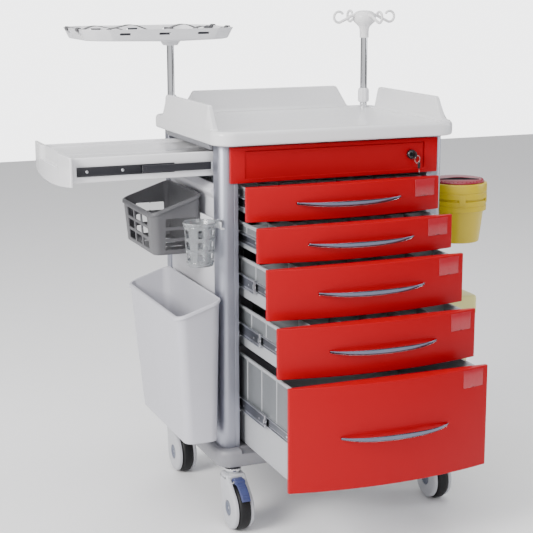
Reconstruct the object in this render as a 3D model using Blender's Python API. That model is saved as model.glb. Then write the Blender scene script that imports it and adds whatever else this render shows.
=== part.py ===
"""Hospital crash cart: a five-drawer resuscitation trolley with its accessories.

Frame while modelling: metres, +Z up, the drawers open towards -Y, +X is the cart's right.
The floor is at z = 0 and x = 0 is the cabinet's middle plane.  The last step moves the
whole cart so that its origin is the middle of the underside of its bounding box.
The drawers and the side shelf are built in the pulled-out places given by DRAWER_OPEN and
SHELF_OUT.  A moving piece hangs under an empty that stands on its joint's axis.
"""

import math

import bmesh
import bpy
from mathutils import Matrix, Vector

# ---------------------------------------------------------------- driving dimensions
GAP = 0.0003                # between pieces that touch
RUN = 0.0003                # between pieces that slide or turn on each other

BODY_HALF_WIDTH = 0.2657    # cabinet, outer faces of the columns
BODY_FRONT = -0.190         # front face of the front columns
BODY_BACK = 0.197           # rear face of the rear columns
COLUMN = 0.041              # square size of a column
COLUMN_CORNER = 0.018       # its rounded outer corner
COLUMN_BORE = 0.0118        # hollow of a front column

WHEEL_R = 0.050
WHEEL_WIDTH = 0.024
AXLE_R = 0.004
CHEEK = 0.0095              # side plate of a caster fork
CHEEK_UNDER = 0.004         # cheek radius inside the tread's
FORK_CLEAR = 0.0020         # wheel to fork, sideways and above the tread
FORK_HEAD = 0.020           # top of the fork above the tread
CUP_R = (0.0165, 0.0185)    # chrome cup between fork and base, bottom and top
CUP_TALL = 0.0155
STEM_R = 0.006
STEM_IN = 0.024             # depth of the stem's hole in the base
SWIVEL_IN = 0.0227          # swivel axis inside the columns' outer faces
SWIVEL_Y = (BODY_FRONT - 0.002, BODY_BACK - 0.005)
TRAIL = 0.031               # the wheels stand this far ahead of their stems
PEDAL_WIDTH = 0.019
PEDAL_THICK = 0.0045
PEDAL_CLEAR = 0.0085        # pedal to tread

BASE_TALL = 0.0385
BASE_LEDGE = 0.0143         # base beyond the columns at the sides
BASE_FRONT = BODY_FRONT - 0.025
BASE_BACK = BODY_BACK + 0.018
BASE_CORNER = 0.035

DRAWER_HEIGHTS = (0.0735, 0.0735, 0.1057, 0.1057, 0.2198)
DRAWER_GAP = 0.0028
DRAWER_LOW = 0.0066         # lowest front hangs this far below the top of the base
DRAWER_OPEN = (0.042, 0.104, 0.156, 0.213, 0.270)
DRAWER_TRAVEL = (0.260, 0.260, 0.320, 0.320, 0.320)
FRONT_OVER = 0.0022         # a front covers this much of each column
FRONT_EDGE = 0.0085         # thickness of a drawer front at its ends
FRONT_BOW = 0.028           # and how far its middle stands ahead of them
FRONT_CLEAR = 0.0015        # closed front to column
BOX_BEHIND = 0.032          # box back ahead of the cabinet's rear face
BOX_WALL = 0.0025
BOX_LIP = 0.0040
BOX_UNDER = 0.0100          # box floor above the bottom edge of its front
BOX_BELOW = 0.0070          # box lip below the top edge of its front
SLIDE_MEMBER = 0.0047       # thickness of one member of a slide
SLIDE_TALL = (0.021, 0.029, 0.031)      # heights of inner, middle and fixed member
SLIDE_START = 0.004         # fixed member behind the column's front face
HANDLE_HALF = 0.122
HANDLE_TALL = 0.0140
HANDLE_THICK = 0.0040
HANDLE_STAND = 0.017        # clear of the front at the middle
HANDLE_DROP = 0.002         # below the middle of the front

LOCK_PANEL_OVER = 0.018     # lock panel beyond the fronts' ends
LOCK_PANEL_THICK = 0.0095
LOCK_PANEL_HEIGHT = 0.0765
LOCK_IN = 0.0662            # lock from the panel's end
LOCK_R = 0.0105
KEY_OUT = 0.020
KEY_WIDE = 0.0036            # half the blade's width; it turns in a round keyway

TOP_SHOW = 0.0047           # column between lock panel and worktop
TOP_THICK = 0.030
TOP_SIDE = 0.0193           # worktop beyond the columns at the sides
TOP_FRONT = BODY_FRONT - 0.036
TOP_BACK = BODY_BACK + 0.025
TOP_CORNER = 0.045
TOP_RECESS = 0.0025
GUARD_TALL = 0.050
GUARD_THICK = 0.019         # at its foot
GUARD_LEAN = 0.009

PANEL_THICK = 0.008
PANEL_INSET = 0.0037        # side panel behind the columns' outer faces
GROOVE_PITCH = 0.070
LEDGE_DOWN = 0.089          # ledge of the left panel below the worktop
LEDGE_OUT = 0.010

POLE_R = 0.0085
POLE_IN = 0.0172            # pole axis inside the columns' outer faces
POLE_CLEAR = 0.0008
KNOB_R = 0.0138
KNOB_TALL = 0.0435
IV_HEAD_UP = 0.167          # above the worktop's rim
IV_HEAD_SOCKET = 0.018
HOOK_REACH = 0.071
HOOK_RING = 0.0130
HOOK_WIRE = 0.0030
POLE_END = 0.026            # lower end of the IV rod above the base
TRAY_POLE_DOWN = 0.441      # lower end of the other pole below the worktop
TRAY_UP = 0.159             # underside of the monitor tray above the worktop's rim
TRAY_DEEP = (0.020, 0.042)  # from that underside to its floor and to its rim
TRAY_SOCKET = 0.015
TRAY_HALF = (0.178, 0.135)
TRAY_OFF = (-0.050, 0.010)  # middle of the tray from its pole
TRAY_CORNER = 0.050
TRAY_WALL = 0.0030

RAIL_LOW = 0.0012           # hanging rail: clear of the column
RAIL_OUT = 0.0090           # how far it stands out
RAIL_UP = 0.0160            # height of its upturned edge
RAIL_SHEET = 0.0025
HOOK_SHEET = 0.0030
HOOK_OFF = 0.0006           # hooked pieces stand this clear of the rail

BASKET_RAIL_DOWN = 0.173    # undersides of the hanging rails below the worktop
BIN_RAIL_DOWN = 0.357
YELLOW_RAIL_DOWN = 0.457
BASKET_WIDE = 0.1115
BASKET_Y = (-0.100, 0.130)
BASKET_RISE = (-0.072, 0.059, 0.022)    # floor, rim at the cart, rim outside, from the rail
HOLDER_R = (0.0280, 0.0355)             # cup holder: floor and rim
HOLDER_Y = -0.200
HOLDER_RISE = (-0.076, 0.017)
BIN_OFF = 0.0025            # waste bin and yellow bin stand this much further out
BIN_WIDE = 0.097
BIN_Y = (-0.230, 0.135)
BIN_RISE = (-0.284, 0.038, 0.006)
SHARPS_Y = -0.1209
SHARPS_R = (0.0520, 0.0600, 0.0675)     # floor, under the bands, bands
SHARPS_RISE = (-0.0855, -0.0115, 0.0165, 0.0525)
SHARPS_LID_TALL = 0.011
YELLOW_WIDE = 0.105
YELLOW_Y = (-0.164, 0.056)
YELLOW_RISE = (-0.179, 0.062)
YELLOW_LID = (0.028, 0.0715)
CONTAINER_WALL = 0.0025

SHELF_OUT = 0.2995          # how far the side shelf is pulled out
SHELF_REST = 0.0038         # end plate to columns when it is pushed in
SHELF_LENGTH = 0.3340
SHELF_SIDE = (0.0167, 0.0287)           # deck inside the side panel's two ends
SHELF_DOWN = 0.019          # deck below the worktop
SHELF_SKIRT = 0.052
SHELF_LIP = 0.009
SHELF_PLATE_Y = (-0.152, 0.172)
SHELF_PLATE_DOWN = (0.085, 0.015)
SHELF_PLATE_THICK = 0.016
SHELF_SLIDE_DOWN = 0.048
SHELF_SLIDE_MEMBER = 0.0040
SHELF_SLIDE_TALL = (0.020, 0.016, 0.020)

# ---------------------------------------------------------------- what follows from them
FORK_TOP = 2 * WHEEL_R + FORK_HEAD
BASE_BOTTOM = FORK_TOP + CUP_TALL
BASE_TOP = BASE_BOTTOM + BASE_TALL
BASE_HALF_WIDTH = BODY_HALF_WIDTH + BASE_LEDGE
DRAWER_TOP = BASE_TOP - DRAWER_LOW + sum(DRAWER_HEIGHTS) + DRAWER_GAP * (len(DRAWER_HEIGHTS) - 1)
LOCK_PANEL_Z = (DRAWER_TOP + DRAWER_GAP, DRAWER_TOP + DRAWER_GAP + LOCK_PANEL_HEIGHT)
TOP_BOTTOM = LOCK_PANEL_Z[1] + TOP_SHOW
TOP_RIM = TOP_BOTTOM + TOP_THICK
TOP_HALF_WIDTH = BODY_HALF_WIDTH + TOP_SIDE
GUARD_TOP = TOP_RIM + GUARD_TALL
LEDGE_TOP = TOP_BOTTOM - LEDGE_DOWN

COLUMN_X = (BODY_HALF_WIDTH - COLUMN, BODY_HALF_WIDTH)
FRONT_COLUMN_Y = (BODY_FRONT, BODY_FRONT + COLUMN)
REAR_COLUMN_Y = (BODY_BACK - COLUMN, BODY_BACK)
PANEL_Y = (FRONT_COLUMN_Y[1] + GAP, REAR_COLUMN_Y[0] - GAP)
PANEL_X = (BODY_HALF_WIDTH - PANEL_INSET - PANEL_THICK, BODY_HALF_WIDTH - PANEL_INSET)
SWIVEL_X = BODY_HALF_WIDTH - SWIVEL_IN
POLE_X = BODY_HALF_WIDTH - POLE_IN
POLE_Y = REAR_COLUMN_Y[1] - 0.013

FRONT_HALF_WIDTH = COLUMN_X[0] + FRONT_OVER
FRONT_BACK_FACE = BODY_FRONT - FRONT_CLEAR
LOCK_PANEL_HALF = FRONT_HALF_WIDTH + LOCK_PANEL_OVER
LOCK_X = LOCK_PANEL_HALF - LOCK_IN
LOCK_Z = LOCK_PANEL_Z[0] + LOCK_PANEL_HEIGHT * 0.545
SLIDE_X = COLUMN_X[0] - GAP - SLIDE_MEMBER      # inner face of the fixed members
BOX_HALF_WIDTH = SLIDE_X - 2 * (SLIDE_MEMBER + RUN)
BOX_BACK = BODY_BACK - BOX_BEHIND
SLIDE_LENGTH = BOX_BACK - BODY_FRONT - 0.025

TRAY_BOTTOM = TOP_RIM + TRAY_UP
TRAY_FLOOR = TRAY_BOTTOM + TRAY_DEEP[0]
TRAY_RIM = TRAY_BOTTOM + TRAY_DEEP[1]
IV_HEAD_BOTTOM = TOP_RIM + IV_HEAD_UP

RAIL_FACE = BODY_HALF_WIDTH + RAIL_LOW + RAIL_OUT
BASKET_RAIL = TOP_BOTTOM - BASKET_RAIL_DOWN
BIN_RAIL = TOP_BOTTOM - BIN_RAIL_DOWN
YELLOW_RAIL = TOP_BOTTOM - YELLOW_RAIL_DOWN
BASKET_X = (RAIL_FACE + HOOK_OFF, RAIL_FACE + HOOK_OFF + BASKET_WIDE)
BIN_X = (RAIL_FACE + HOOK_OFF + BIN_OFF, RAIL_FACE + HOOK_OFF + BIN_OFF + BIN_WIDE)
YELLOW_X = (BIN_X[0], BIN_X[0] + YELLOW_WIDE)
HOLDER_X = RAIL_FACE + HOOK_OFF + 0.003 + HOLDER_R[1]
SHARPS_X = RAIL_FACE + 2 * HOOK_OFF + SHARPS_R[2]

SHELF_END = -(BODY_HALF_WIDTH + SHELF_REST + SHELF_OUT)     # inner face of the end plate
SHELF_RAIL_END = -(BODY_HALF_WIDTH + SHELF_REST - 0.001)    # outer ends of its fixed members
SHELF_Y = (PANEL_Y[0] + SHELF_SIDE[0], PANEL_Y[1] - SHELF_SIDE[1])
SHELF_TOP = TOP_BOTTOM - SHELF_DOWN
SHELF_SLIDE_Z = TOP_BOTTOM - SHELF_SLIDE_DOWN


def from_rail(rail, rises):
    """Heights given from the underside of a hanging rail."""
    return tuple(rail + rise for rise in rises)


# ---------------------------------------------------------------- basic tools
def clear_scene():
    """Remove every object, so that the script always starts from nothing."""
    for obj in list(bpy.data.objects):
        bpy.data.objects.remove(obj, do_unlink=True)


def linear(value):
    """One sRGB channel, 0 to 1, as linear light."""
    if value <= 0.04045:
        return value / 12.92
    return ((value + 0.055) / 1.055) ** 2.4


def material(name, colour, roughness, metallic=0.0, alpha=1.0):
    """A plain Principled material from an sRGB hex colour."""
    found = bpy.data.materials.get(name)
    if found:
        return found
    made = bpy.data.materials.new(name)
    made.use_nodes = True
    shader = made.node_tree.nodes["Principled BSDF"]
    channels = [linear(int(colour[i:i + 2], 16) / 255) for i in (0, 2, 4)]
    shader.inputs["Base Color"].default_value = (*channels, 1.0)
    shader.inputs["Roughness"].default_value = roughness
    shader.inputs["Metallic"].default_value = metallic
    shader.inputs["Alpha"].default_value = alpha
    return made


FINISHES = {
    "red_front": ("C02424", 0.30, 0.0, 1.0),
    "white_plastic": ("E4E4E6", 0.35, 0.0, 1.0),
    "panel_grey": ("C9C9CE", 0.45, 0.0, 1.0),
    "base_grey": ("8F8F93", 0.45, 0.0, 1.0),
    "aluminium": ("D5D7DC", 0.35, 1.0, 1.0),
    "slide_steel": ("B9BBC0", 0.35, 1.0, 1.0),
    "slide_black": ("23232B", 0.40, 0.6, 1.0),
    "chrome": ("E6E7EC", 0.08, 1.0, 1.0),
    "caster_grey": ("C4C4CA", 0.45, 0.0, 1.0),
    "tyre": ("15151A", 0.70, 0.0, 1.0),
    "pedal_blue": ("4A5078", 0.45, 0.0, 1.0),
    "box_grey": ("C6C7CB", 0.45, 0.0, 1.0),
    "basket_grey": ("6E6E70", 0.50, 0.0, 1.0),
    "clear_plastic": ("C8CACC", 0.25, 0.0, 0.6),
    "bin_grey": ("C9C9D1", 0.45, 0.0, 1.0),
    "sharps_yellow": ("C9B13F", 0.40, 0.0, 1.0),
    "sharps_red": ("A8304A", 0.35, 0.0, 1.0),
    "pale_yellow": ("D5D080", 0.45, 0.0, 1.0),
    "lock_black": ("1C1E22", 0.35, 0.3, 1.0),
}


def skin(name, loops, wrap=False, split=False):
    """A closed solid through loops of equal point counts, capped or joined end to start.

    split turns its faces into triangles first, for walls that aren't flat.
    """
    bm = bmesh.new()
    rings = [[bm.verts.new(point) for point in loop] for loop in loops]
    count = len(rings[0])
    last = len(rings) if wrap else len(rings) - 1
    for k in range(last):
        low = rings[k]
        high = rings[(k + 1) % len(rings)]
        for i in range(count):
            j = (i + 1) % count
            bm.faces.new((low[i], low[j], high[j], high[i]))
    if not wrap:
        bm.faces.new(rings[0])
        bm.faces.new(rings[-1])
    bmesh.ops.recalc_face_normals(bm, faces=bm.faces)
    if split:
        bmesh.ops.triangulate(bm, faces=bm.faces)
    mesh = bpy.data.meshes.new(name)
    bm.to_mesh(mesh)
    bm.free()
    obj = bpy.data.objects.new(name, mesh)
    bpy.context.scene.collection.objects.link(obj)
    return obj


def place(axis, along, a, b):
    """A point at `along` on an axis, with a and b on the two other axes in X, Y, Z order."""
    if axis == "X":
        return (along, a, b)
    if axis == "Y":
        return (a, along, b)
    return (a, b, along)


def prism(name, outline, axis, start, end):
    """An outline in the plane across `axis`, extruded from start to end."""
    return skin(name, [[place(axis, t, a, b) for a, b in outline] for t in (start, end)])


def block(name, low, high):
    """A box between two corners."""
    outline = [(low[0], low[1]), (high[0], low[1]), (high[0], high[1]), (low[0], high[1])]
    return prism(name, outline, "Z", low[2], high[2])


def circle(radius, count, a=0.0, b=0.0, turn=0.0):
    """Points of a circle about (a, b)."""
    angles = [2 * math.pi * (i + turn) / count for i in range(count)]
    return [(a + radius * math.cos(t), b + radius * math.sin(t)) for t in angles]


def turned(name, profile, axis, centre, count, wrap=False):
    """A profile of (radius, height) points turned about an axis through `centre`."""
    loops = []
    for radius, height in profile:
        loops.append([place(axis, height, a, b) for a, b in circle(radius, count, *centre)])
    return skin(name, loops, wrap)


def rod(name, axis, centre, radius, start, end, count=16):
    """A round bar."""
    return turned(name, [(radius, start), (radius, end)], axis, centre, count)


def rounded(low, high, radii, steps=3):
    """A rectangle whose corners, from low-low counterclockwise, have their own radii."""
    points = []
    corners = ((low[0], low[1], 1, 1, 180), (high[0], low[1], -1, 1, 270),
               (high[0], high[1], -1, -1, 0), (low[0], high[1], 1, -1, 90))
    for (x, y, sx, sy, start), radius in zip(corners, radii):
        if radius == 0:
            points.append((x, y))
            continue
        for k in range(steps + 1):
            t = math.radians(start + 90 * k / steps)
            points.append((x + sx * radius + radius * math.cos(t),
                           y + sy * radius + radius * math.sin(t)))
    return points


def combine(target, tools, operation):
    """Boolean the tools into the target one by one, then remove them."""
    for tool in tools:
        change = target.modifiers.new("combine", "BOOLEAN")
        change.operation = operation
        change.solver = "EXACT"
        change.object = tool
        bpy.context.view_layer.update()
        graph = bpy.context.evaluated_depsgraph_get()
        result = bpy.data.meshes.new_from_object(target.evaluated_get(graph))
        target.modifiers.remove(change)
        target.data = result
        bpy.data.objects.remove(tool, do_unlink=True)
    return target


def join(target, *tools):
    return combine(target, tools, "UNION")


def cut(target, *tools):
    return combine(target, tools, "DIFFERENCE")


def shift(obj, offset):
    """Move an object's mesh, not its origin."""
    obj.data.transform(Matrix.Translation(Vector(offset)))
    return obj


def finish(obj, name, look, parent, smooth=None):
    """Name a piece, give it its finish, and hang it under its parent empty."""
    obj.name = name
    obj.data.name = name
    obj.data.materials.clear()
    colour, roughness, metallic, alpha = FINISHES[look]
    obj.data.materials.append(material(look, colour, roughness, metallic, alpha))
    if smooth is not None:
        obj.data.shade_smooth()
        obj.data.set_sharp_from_angle(angle=math.radians(smooth))
    origin = parent.matrix_world.translation.copy()
    obj.data.transform(Matrix.Translation(-origin))
    obj.parent = parent
    return obj


def empty(name, at=(0, 0, 0), parent=None):
    """A joint's axis point; pieces that move with the joint are its children."""
    made = bpy.data.objects.new(name, None)
    made.empty_display_size = 0.03
    bpy.context.scene.collection.objects.link(made)
    if parent is not None:
        made.parent = parent
        made.location = Vector(at) - parent.matrix_world.translation
    else:
        made.location = at
    bpy.context.view_layer.update()
    return made


# ---------------------------------------------------------------- cabinet
def drawer_levels():
    """Bottom and top of each drawer front, from the top drawer down."""
    levels = []
    top = DRAWER_TOP
    for height in DRAWER_HEIGHTS:
        levels.append((top - height, top))
        top -= height + DRAWER_GAP
    return levels


def rail_height(level):
    """Height of the middle of a drawer's slides."""
    low = level[0] + BOX_UNDER
    high = level[1] - BOX_BELOW - BOX_LIP
    return low + 0.47 * (high - low)


def column(name, side, rear, parent):
    """A hollow extrusion with a rounded outer corner; the rear ones hold the poles."""
    x0, x1 = COLUMN_X
    y0, y1 = REAR_COLUMN_Y if rear else FRONT_COLUMN_Y
    corner = COLUMN_CORNER
    radii = (0, 0, corner, 0) if rear else (0, corner, 0, 0)
    outline = rounded((x0, y0), (x1, y1), radii, 5)
    bottom = BASE_TOP + GAP
    top = TOP_BOTTOM - GAP
    body = prism(name, outline, "Z", bottom, top)
    if rear:
        hole = rod("hole", "Z", (POLE_X, POLE_Y), POLE_R + POLE_CLEAR, bottom - 0.01, top + 0.01)
    else:
        middle = ((x0 + x1) / 2, (y0 + y1) / 2)
        hole = rod("hole", "Z", middle, COLUMN_BORE, bottom - 0.01, top + 0.01)
    cut(body, hole)
    if side < 0:
        flip(body)
    return finish(body, name, "aluminium", parent)


def flip(obj):
    """Mirror a mesh in the middle plane and turn its faces back outwards."""
    obj.data.transform(Matrix.Scale(-1, 4, (1, 0, 0)))
    obj.data.flip_normals()
    return obj


def base_tray(parent):
    """Moulded base with four stem holes; its front lip is lower, under the last drawer."""
    low = (-BASE_HALF_WIDTH, BASE_FRONT)
    high = (BASE_HALF_WIDTH, BASE_BACK)
    tuck = 0.006
    outer = rounded(low, high, (BASE_CORNER,) * 4, 5)
    lower = rounded((low[0] + tuck, low[1] + tuck), (high[0] - tuck, high[1] - tuck),
                    (BASE_CORNER - tuck,) * 4, 5)
    loops = [[(x, y, BASE_BOTTOM) for x, y in lower],
             [(x, y, BASE_BOTTOM + tuck) for x, y in outer],
             [(x, y, BASE_TOP - 0.003) for x, y in outer],
             [(x * 0.993, y * 0.991, BASE_TOP) for x, y in outer]]
    body = skin("base", loops)
    lip = block("lip", (-FRONT_HALF_WIDTH - 0.0015, BASE_FRONT - 0.01,
                        drawer_levels()[-1][0] - 0.002),
                (FRONT_HALF_WIDTH + 0.0015, BODY_FRONT - GAP, BASE_TOP + 0.01))
    cut(body, lip)
    for sx in (-1, 1):
        for y in SWIVEL_Y:
            cut(body, rod("hole", "Z", (sx * SWIVEL_X, y), STEM_R + 2 * RUN,
                          BASE_BOTTOM - 0.01, BASE_BOTTOM + STEM_IN + 0.002, 12))
    return finish(body, "base_tray", "base_grey", parent)


def hanging_rail(side, bottom, y0, y1):
    """An upturned J-shaped rail along a side, on spacers that reach the panel."""
    x0 = BODY_HALF_WIDTH + RAIL_LOW
    x1 = x0 + RAIL_OUT
    top = bottom + RAIL_UP
    outline = [(x0, bottom), (x1, bottom), (x1, top), (x1 - RAIL_SHEET, top),
               (x1 - RAIL_SHEET, bottom + RAIL_SHEET), (x0, bottom + RAIL_SHEET)]
    outline = [(side * x, z) for x, z in outline]
    rail = prism("rail", outline, "Y", y0, y1)
    for y in (PANEL_Y[0] + 0.02, PANEL_Y[1] - 0.05):
        xs = sorted((side * (PANEL_X[1] - 0.004), side * (x0 + 0.001)))
        join(rail, block("spacer", (xs[0], y, bottom - 0.006), (xs[1], y + 0.03, bottom + 0.002)))
    return rail


def drawer_slides(side):
    """The fixed outer members of the five drawers' slides, on feet that reach the panel."""
    made = []
    half = SLIDE_TALL[2] / 2
    y0 = BODY_FRONT + SLIDE_START
    for level in drawer_levels():
        z = rail_height(level)
        xs = sorted((side * SLIDE_X, side * (SLIDE_X + SLIDE_MEMBER)))
        slide = block("slide", (xs[0], y0, z - half), (xs[1], y0 + SLIDE_LENGTH, z + half))
        for y in (PANEL_Y[0] + 0.010, PANEL_Y[1] - 0.030):
            feet = sorted((side * (SLIDE_X + SLIDE_MEMBER - 0.002), side * (PANEL_X[0] + 0.002)))
            join(slide, block("foot", (feet[0], y, z - 0.005), (feet[1], y + 0.02, z + 0.005)))
        made.append(slide)
    return made


def side_panel(name, side, parent):
    """Moulded side panel with grooves outside, slides inside and two hanging rails."""
    top = LEDGE_TOP if side < 0 else TOP_BOTTOM - GAP
    xs = sorted((side * PANEL_X[0], side * PANEL_X[1]))
    body = block(name, (xs[0], PANEL_Y[0], BASE_TOP + GAP), (xs[1], PANEL_Y[1], top))
    out = PANEL_X[1] + LEDGE_OUT
    ledge = [(PANEL_X[1] - 0.003, LEDGE_TOP), (PANEL_X[1] - 0.003, LEDGE_TOP - 0.030),
             (out, LEDGE_TOP - 0.017), (out, LEDGE_TOP - 0.010)]
    join(body, prism("ledge", [(side * x, z) for x, z in ledge], "Y",
                     PANEL_Y[0] + 0.002, PANEL_Y[1] - 0.002))
    z = BASE_TOP + GROOVE_PITCH * 0.8
    while z < LEDGE_TOP - 0.06:
        face = PANEL_X[1]
        groove = [(face - 0.002, z), (face + 0.001, z - 0.003), (face + 0.001, z + 0.003)]
        cut(body, prism("groove", [(side * x, h) for x, h in groove], "Y",
                        PANEL_Y[0] - 0.01, PANEL_Y[1] + 0.01))
        z += GROOVE_PITCH
    join(body, *drawer_slides(side))
    if side < 0:
        join(body, hanging_rail(side, BASKET_RAIL, HOLDER_Y - 0.020, PANEL_Y[1] - 0.005))
        join(body, hanging_rail(side, BIN_RAIL, PANEL_Y[0] - 0.02, PANEL_Y[1] - 0.005))
        join(body, *shelf_outer_members())
    else:
        join(body, hanging_rail(side, BASKET_RAIL, SHARPS_Y - 0.035, SHARPS_Y + 0.16))
        join(body, hanging_rail(side, YELLOW_RAIL, YELLOW_Y[0], PANEL_Y[1] - 0.005))
    return finish(body, name, "panel_grey", parent)


def back_panel(parent):
    half = COLUMN_X[0] - GAP
    y1 = BODY_BACK - 0.006
    body = block("back", (-half, y1 - 0.004, BASE_TOP + GAP), (half, y1, TOP_BOTTOM - GAP))
    return finish(body, "back_panel", "panel_grey", parent)


def lock_panel(parent):
    """Fixed red panel over the drawers, with a sunk field round the lock."""
    bottom, top = LOCK_PANEL_Z
    back = BODY_FRONT - GAP
    front = back - LOCK_PANEL_THICK
    body = block("panel", (-LOCK_PANEL_HALF, front, bottom), (LOCK_PANEL_HALF, back, top))
    margin = 0.008
    side = 0.032
    field = block("field", (-LOCK_PANEL_HALF + side, front - 0.01, bottom + margin),
                  (LOCK_PANEL_HALF - side, front + 0.0015, top - margin))
    cut(body, field)
    z = LOCK_Z
    cut(body, rod("hole", "Y", (LOCK_X, z), LOCK_R - 0.003, front - 0.01, back + 0.01, 16))
    finish(body, "lock_panel", "red_front", parent)
    face = front + 0.0015
    barrel = turned("barrel", [(LOCK_R - 0.0035, back), (LOCK_R - 0.0035, face - GAP),
                               (LOCK_R, face - GAP), (LOCK_R, face - 0.008),
                               (LOCK_R - 0.001, face - 0.009), (LOCK_R - 0.0035, face - 0.009),
                               (LOCK_R - 0.0035, face - 0.006)], "Y", (LOCK_X, z), 20)
    cut(barrel, rod("keyway", "Y", (LOCK_X, z), KEY_WIDE + 0.0006, face - 0.02, face - 0.002, 16))
    finish(barrel, "lock_barrel", "lock_black", parent, 40)
    turn = empty("key_turn", (LOCK_X, face, z), parent)
    tip = face - 0.0025
    blade = block("blade", (LOCK_X - 0.0006, face - 0.016, z - KEY_WIDE),
                  (LOCK_X + 0.0006, tip, z + KEY_WIDE))
    bow = circle(0.0085, 12, face - KEY_OUT, z)
    join(blade, prism("bow", bow, "X", LOCK_X - 0.0012, LOCK_X + 0.0012))
    cut(blade, rod("eye", "X", (face - KEY_OUT - 0.002, z - 0.003), 0.0028,
                   LOCK_X - 0.01, LOCK_X + 0.01, 10))
    finish(blade, "key", "slide_steel", turn)


# ---------------------------------------------------------------- worktop
def guard(side_outline, axis, inner, outer, lean):
    """A guard wall: an outline seen square on, with its foot wider than its top."""
    loops = []
    for t, slope in ((outer, lean), (inner, 0.0)):
        loops.append([place(axis, t + slope * max(0.0, (h - TOP_RIM) / (GUARD_TOP - TOP_RIM)),
                            a, h) for a, h in side_outline])
    return skin("guard", loops)


def worktop(parent):
    """Moulded worktop: thick rim, shallow recess, three guard walls and two pole holes."""
    low = (-TOP_HALF_WIDTH, TOP_FRONT)
    high = (TOP_HALF_WIDTH, TOP_BACK)
    edge = 0.006
    radii = (TOP_CORNER, TOP_CORNER, TOP_CORNER * 0.8, TOP_CORNER * 0.8)
    outer = rounded(low, high, radii, 6)
    inner = rounded((low[0] + edge, low[1] + edge), (high[0] - edge, high[1] - edge),
                    [r - edge for r in radii], 6)
    loops = [[(x, y, TOP_BOTTOM) for x, y in inner],
             [(x, y, TOP_BOTTOM + edge) for x, y in outer],
             [(x, y, TOP_RIM - edge * 0.6) for x, y in outer],
             [(x, y, TOP_RIM) for x, y in inner]]
    body = skin("top", loops)
    margin = 0.022
    recess = rounded((low[0] + margin, low[1] + margin), (high[0] - margin, high[1] - margin),
                     (TOP_CORNER - margin + 0.006,) * 4, 3)
    cut(body, prism("recess", recess, "Z", TOP_RIM - TOP_RECESS, TOP_RIM + 0.01))
    sink = TOP_RIM - 0.008
    side_wall = [(TOP_FRONT + 0.045, sink), (TOP_FRONT + 0.047, TOP_RIM + 0.004),
                 (TOP_FRONT + 0.078, GUARD_TOP), (TOP_BACK - 0.084, GUARD_TOP),
                 (TOP_BACK - 0.066, sink)]
    for sx in (-1, 1):
        outer_x = TOP_HALF_WIDTH - 0.001
        join(body, guard(side_wall, "X", sx * (outer_x - GUARD_THICK), sx * outer_x,
                         -sx * GUARD_LEAN))
    foot = TOP_HALF_WIDTH - 0.070
    back_wall = [(-foot, sink), (-foot + 0.030, GUARD_TOP), (foot - 0.030, GUARD_TOP), (foot, sink)]
    join(body, guard(back_wall, "Y", TOP_BACK - 0.001 - GUARD_THICK * 0.8, TOP_BACK - 0.001,
                     -0.002))
    for sx in (-1, 1):
        cut(body, rod("hole", "Z", (sx * POLE_X, POLE_Y), POLE_R + POLE_CLEAR,
                      TOP_BOTTOM - 0.01, TOP_RIM + 0.01))
    near = BODY_HALF_WIDTH - 0.001
    far = TOP_HALF_WIDTH - 0.009
    wedge = [(near, TOP_BOTTOM + 0.002), (far, TOP_BOTTOM + 0.002), (far - 0.001, TOP_BOTTOM - 0.004),
             (near + 0.005, TOP_BOTTOM - 0.014), (near, TOP_BOTTOM - 0.014)]
    for sx in (-1, 1):
        join(body, prism("wedge", [(sx * x, z) for x, z in wedge], "Y",
                         PANEL_Y[0] + 0.003, PANEL_Y[1] - 0.003))
    return finish(body, "worktop", "white_plastic", parent)


# ---------------------------------------------------------------- drawers
def bow_at(x):
    """How far ahead of its ends a drawer front stands at x."""
    return FRONT_BOW * (1 - (x / FRONT_HALF_WIDTH) ** 2)


def drawer_front(name, level, opening, parent):
    """A bowed front: flat behind, an arc in plan ahead."""
    back = FRONT_BACK_FACE - opening
    ends = back - FRONT_EDGE
    steps = 14
    outline = [(FRONT_HALF_WIDTH, back), (-FRONT_HALF_WIDTH, back)]
    for k in range(steps + 1):
        x = FRONT_HALF_WIDTH * (2 * k / steps - 1)
        outline.append((x, ends - bow_at(x)))
    body = prism(name, outline, "Z", level[0], level[1])
    return finish(body, name, "red_front", parent)


def drawer_handle(name, level, opening, parent):
    """A bowed blade, straight along its top edge and crescent-shaped below it."""
    ends = FRONT_BACK_FACE - FRONT_EDGE - opening
    middle = (level[0] + level[1]) / 2 - HANDLE_DROP
    loops = []
    steps = 14
    for k in range(steps + 1):
        u = 2 * k / steps - 1
        x = u * HANDLE_HALF
        rise = (1 - u ** 4) ** 0.9
        back = ends - bow_at(x) - 0.0006 - HANDLE_STAND * rise
        front = back - HANDLE_THICK
        top = middle + HANDLE_TALL * 0.35
        low = top - 0.0055 - (HANDLE_TALL - 0.0055) * (1 - u * u)
        loops.append([(x, back, low + 0.001), (x, front + 0.002, low), (x, front, (top + low) / 2),
                      (x, front + 0.0005, top - 0.001), (x, front + 0.002, top), (x, back, top)])
    return finish(skin(name, loops), name, "aluminium", parent, 50)


def box_loops(x0, x1, y0, y1, low, high):
    """An open tray with an outward lip, as loops from its underside round to its floor."""
    def ring(grow, z):
        front = y0 - min(grow, 0.0)
        return [(x0 - grow, front, z), (x1 + grow, front, z), (x1 + grow, y1 + grow, z),
                (x0 - grow, y1 + grow, z)]
    wall = -BOX_WALL
    return [ring(0, low), ring(0, high - 0.006), ring(BOX_LIP * 0.9, high - 0.003),
            ring(BOX_LIP * 0.9, high), ring(wall, high), ring(wall, low + BOX_WALL)]


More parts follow.
